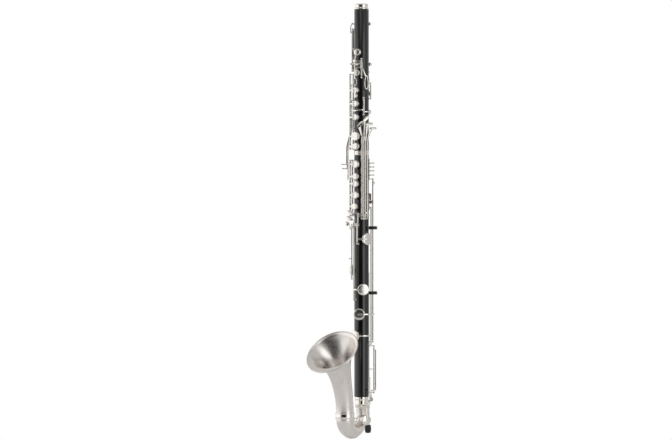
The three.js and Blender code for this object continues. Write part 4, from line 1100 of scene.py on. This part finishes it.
for node, bottom, top, pegs in (("thumb_key_3", -429, -407.5, (-413.5, -423.5)),
                                  ("thumb_key_4", -451.5, -429.5, (-433.5, -444.5))):
    key = Key(node).tube(bottom, top)
    for z in pegs:
        key.stalk(162, z, 26.7, 29.2, 3.2, 3, -1)
        key.rib([(163 - 34 * k / 4, 29.3, z) for k in range(5)], 2.9, 2.2)
        key.metal.stud([(1.8, 27.8), (2.2, 28.3), (1.8, 29.6), (1.7, 30.6), (2.3, 31.3), (2.4, 32.3),
                        (2, 33), (1.1, 33.3), (0.05, 33.4)], 129, z, 28)
    key.done()

# Low C.
key = Key("low_c_rod").tube(-945.5, -892.5).tube(-1006.5, -952.5)
key.arm(upright(125, (34.2, -900), (36.2, -900.5), (36.6, -906), (36.5, -950), (36.5, -998),
                       (36.2, -1002.6), (34.1, -1003)), 3.2, 2.1, outward(215))
key.rib([(128, 34.7, -1003), (112, 34.8, -1003), (94, 34.8, -1003), (82, 34.8, -1004),
         (80, 34.8, -1010), (80, 34.8, -1019.6)], 3.6, 2.2, 0.9)
key.foot(at(80, 32.4, -1018), outward(80), 1.5, 1.4).spring_from(-894, -16).done()

key = Key("low_c_key")
angle, z, r = LOW_C_CUP["angle"], LOW_C_CUP["z"], LOW_C_CUP["r"]
seat, top = LOW_C_CUP["seat"] + 0.3, LOW_C_CUP["top"]
key.metal.stud([(r - 1.4, seat + 1.2), (r - 0.3, seat + 1.2), (r, seat + 1.6), (r, seat + 2.6),
                (r - 0.4, seat + 3), (r - 0.5, top - 2.2), (r - 1.1, top - 1.2), (r - 2.2, top - 0.7),
                (r * 0.5, top - 0.25), (0.05, top)], angle, z, 64)
key.pads.stud([(0.05, seat), (r - 2.4, seat), (r - 1.2, seat + 0.4), (r - 0.9, seat + 1.5),
               (0.05, seat + 1.6)], angle, z, 48)
key.metal.tube(low_c_axis(-5), low_c_axis(5), 2.3)
key.arm(upright(angle, (27.2, -1048), (28.2, -1058), (28.4, -1068), (28.2, -1078)),
        5, 2.3, outward(angle), 0.6)
key.arm([at(angle, 27.2, -1044), at(angle + 4, 29.4, -1036), at(angle + 8, 30.8, -1028)], 4, 2.3,
        outward(angle))
key.foot(at(angle + 7.5, 31.6, -1030), outward(angle + 8), 1.6, 1).done()

# The left thumb's plate.
key = Key("thumb_plate", opens=True).tube(-242.5, -209.5).cup("plate")
key.wrap(-232, [(131, 25), (142, 26.3), (154, 26.8), (164, 26.9)], 5, 2.2, 0.7)
key.spring_from(-211, -12).done()

piece("small_screws", heads, "steel")
piece("screw_slots", slots, "shadow")


# ---------- the studio ----------
def aimed(name, data, place, target):
    """Adds a lamp or the camera at a place, looking at the target."""
    made = bpy.data.objects.new(name, data)
    bpy.context.scene.collection.objects.link(made)
    made.location = place
    made.rotation_euler = (target - place).to_track_quat("-Z", "Y").to_euler()
    return made


def studio():
    """A pale floor under the drawn-out peg, two tall soft lights and a smaller one above."""
    travel = JOINTS["floor_peg"]["range_m"][1]
    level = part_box("peg_tip")[0].z - travel - 0.004
    bpy.ops.mesh.primitive_circle_add(vertices=128, radius=2.3, fill_type="NGON",
                                      location=(0, 0, level))
    floor = bpy.context.object
    floor.name = "floor"
    paint = Paint("studio_floor", Roughness=0.85)
    paint.colour(paint.noise(3, 3), (0.2, (0.86, 0.86, 0.86)), (0.8, (0.90, 0.90, 0.90)))
    floor.data.materials.append(paint.material)
    floor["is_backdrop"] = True

    low_corner, high_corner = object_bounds()
    middle = (low_corner + high_corner) / 2
    for name, angle, width, height, brightness, distance, lift in (
            ("left_softbox", -62, 4.2, 2.8, 0.6, 2.2, 0.1),
            ("right_softbox", 74, 1.4, 2.8, 1.15, 2.2, 0.1),
            ("top_softbox", 20, 1.4, 1.4, 0.8, 2.2, 2.2)):
        light = bpy.data.lights.new(name, "AREA")
        light.shape, light.size, light.size_y = "RECTANGLE", width, height
        light.energy = brightness * math.pi * width * height
        aimed(name, light, middle + outward(angle) * distance + UP * lift, middle)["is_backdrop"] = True


def surround():
    """White behind the object; what it reflects is darker on the camera's side."""
    world = bpy.data.worlds.new("surround")
    bpy.context.scene.world = world
    world.use_nodes = True
    tree = world.node_tree
    tree.nodes.clear()
    place = add_node(tree, "TexCoord").outputs["Generated"]
    turn = add_node(tree, "Mapping", {"Vector": place}, Rotation=(0, 0, math.radians(-DARK_ANGLE)))
    split = add_node(tree, "SeparateXYZ", {"Vector": turn.outputs["Vector"]})
    share = add_node(tree, "MapRange", {"Value": split.outputs["Y"]}, From_Min=-1)
    room = add_node(tree, "Background", {"Color": add_ramp(tree, share.outputs["Result"], ROOM_GREYS)})
    seen = add_node(tree, "Background", Color=(1, 1, 1, 1))
    pick = add_node(tree, "MixShader", {
        "Fac": add_node(tree, "LightPath").outputs["Is Camera Ray"],
        1: room.outputs["Background"], 2: seen.outputs["Background"]})
    add_node(tree, "OutputWorld", {"Surface": pick.outputs["Shader"]})


VIEW_ANGLE = 35  # the camera stands this far round from the front towards the left
DARK_ANGLE = 21  # and the middle of the room's dark side is here
ROOM_GREYS = ((0, 0.02), (0.04, 0.03), (0.09, 0.22), (0.2, 0.48), (0.60, 0.58), (1, 0.7))
FRAME_WIDTH = 1.747  # metres across the picture, at the object
LENS, SENSOR = 135, 36


def camera():
    target = Vector((-0.0544, -0.0381, -0.5616))
    data = bpy.data.cameras.new("camera")
    data.lens, data.sensor_width = LENS, SENSOR
    place = target + outward(VIEW_ANGLE) * (FRAME_WIDTH * LENS / SENSOR)
    bpy.context.scene.camera = aimed("camera", data, place, target)


studio()
surround()
camera()
bpy.context.scene.view_settings.view_transform = "Standard"
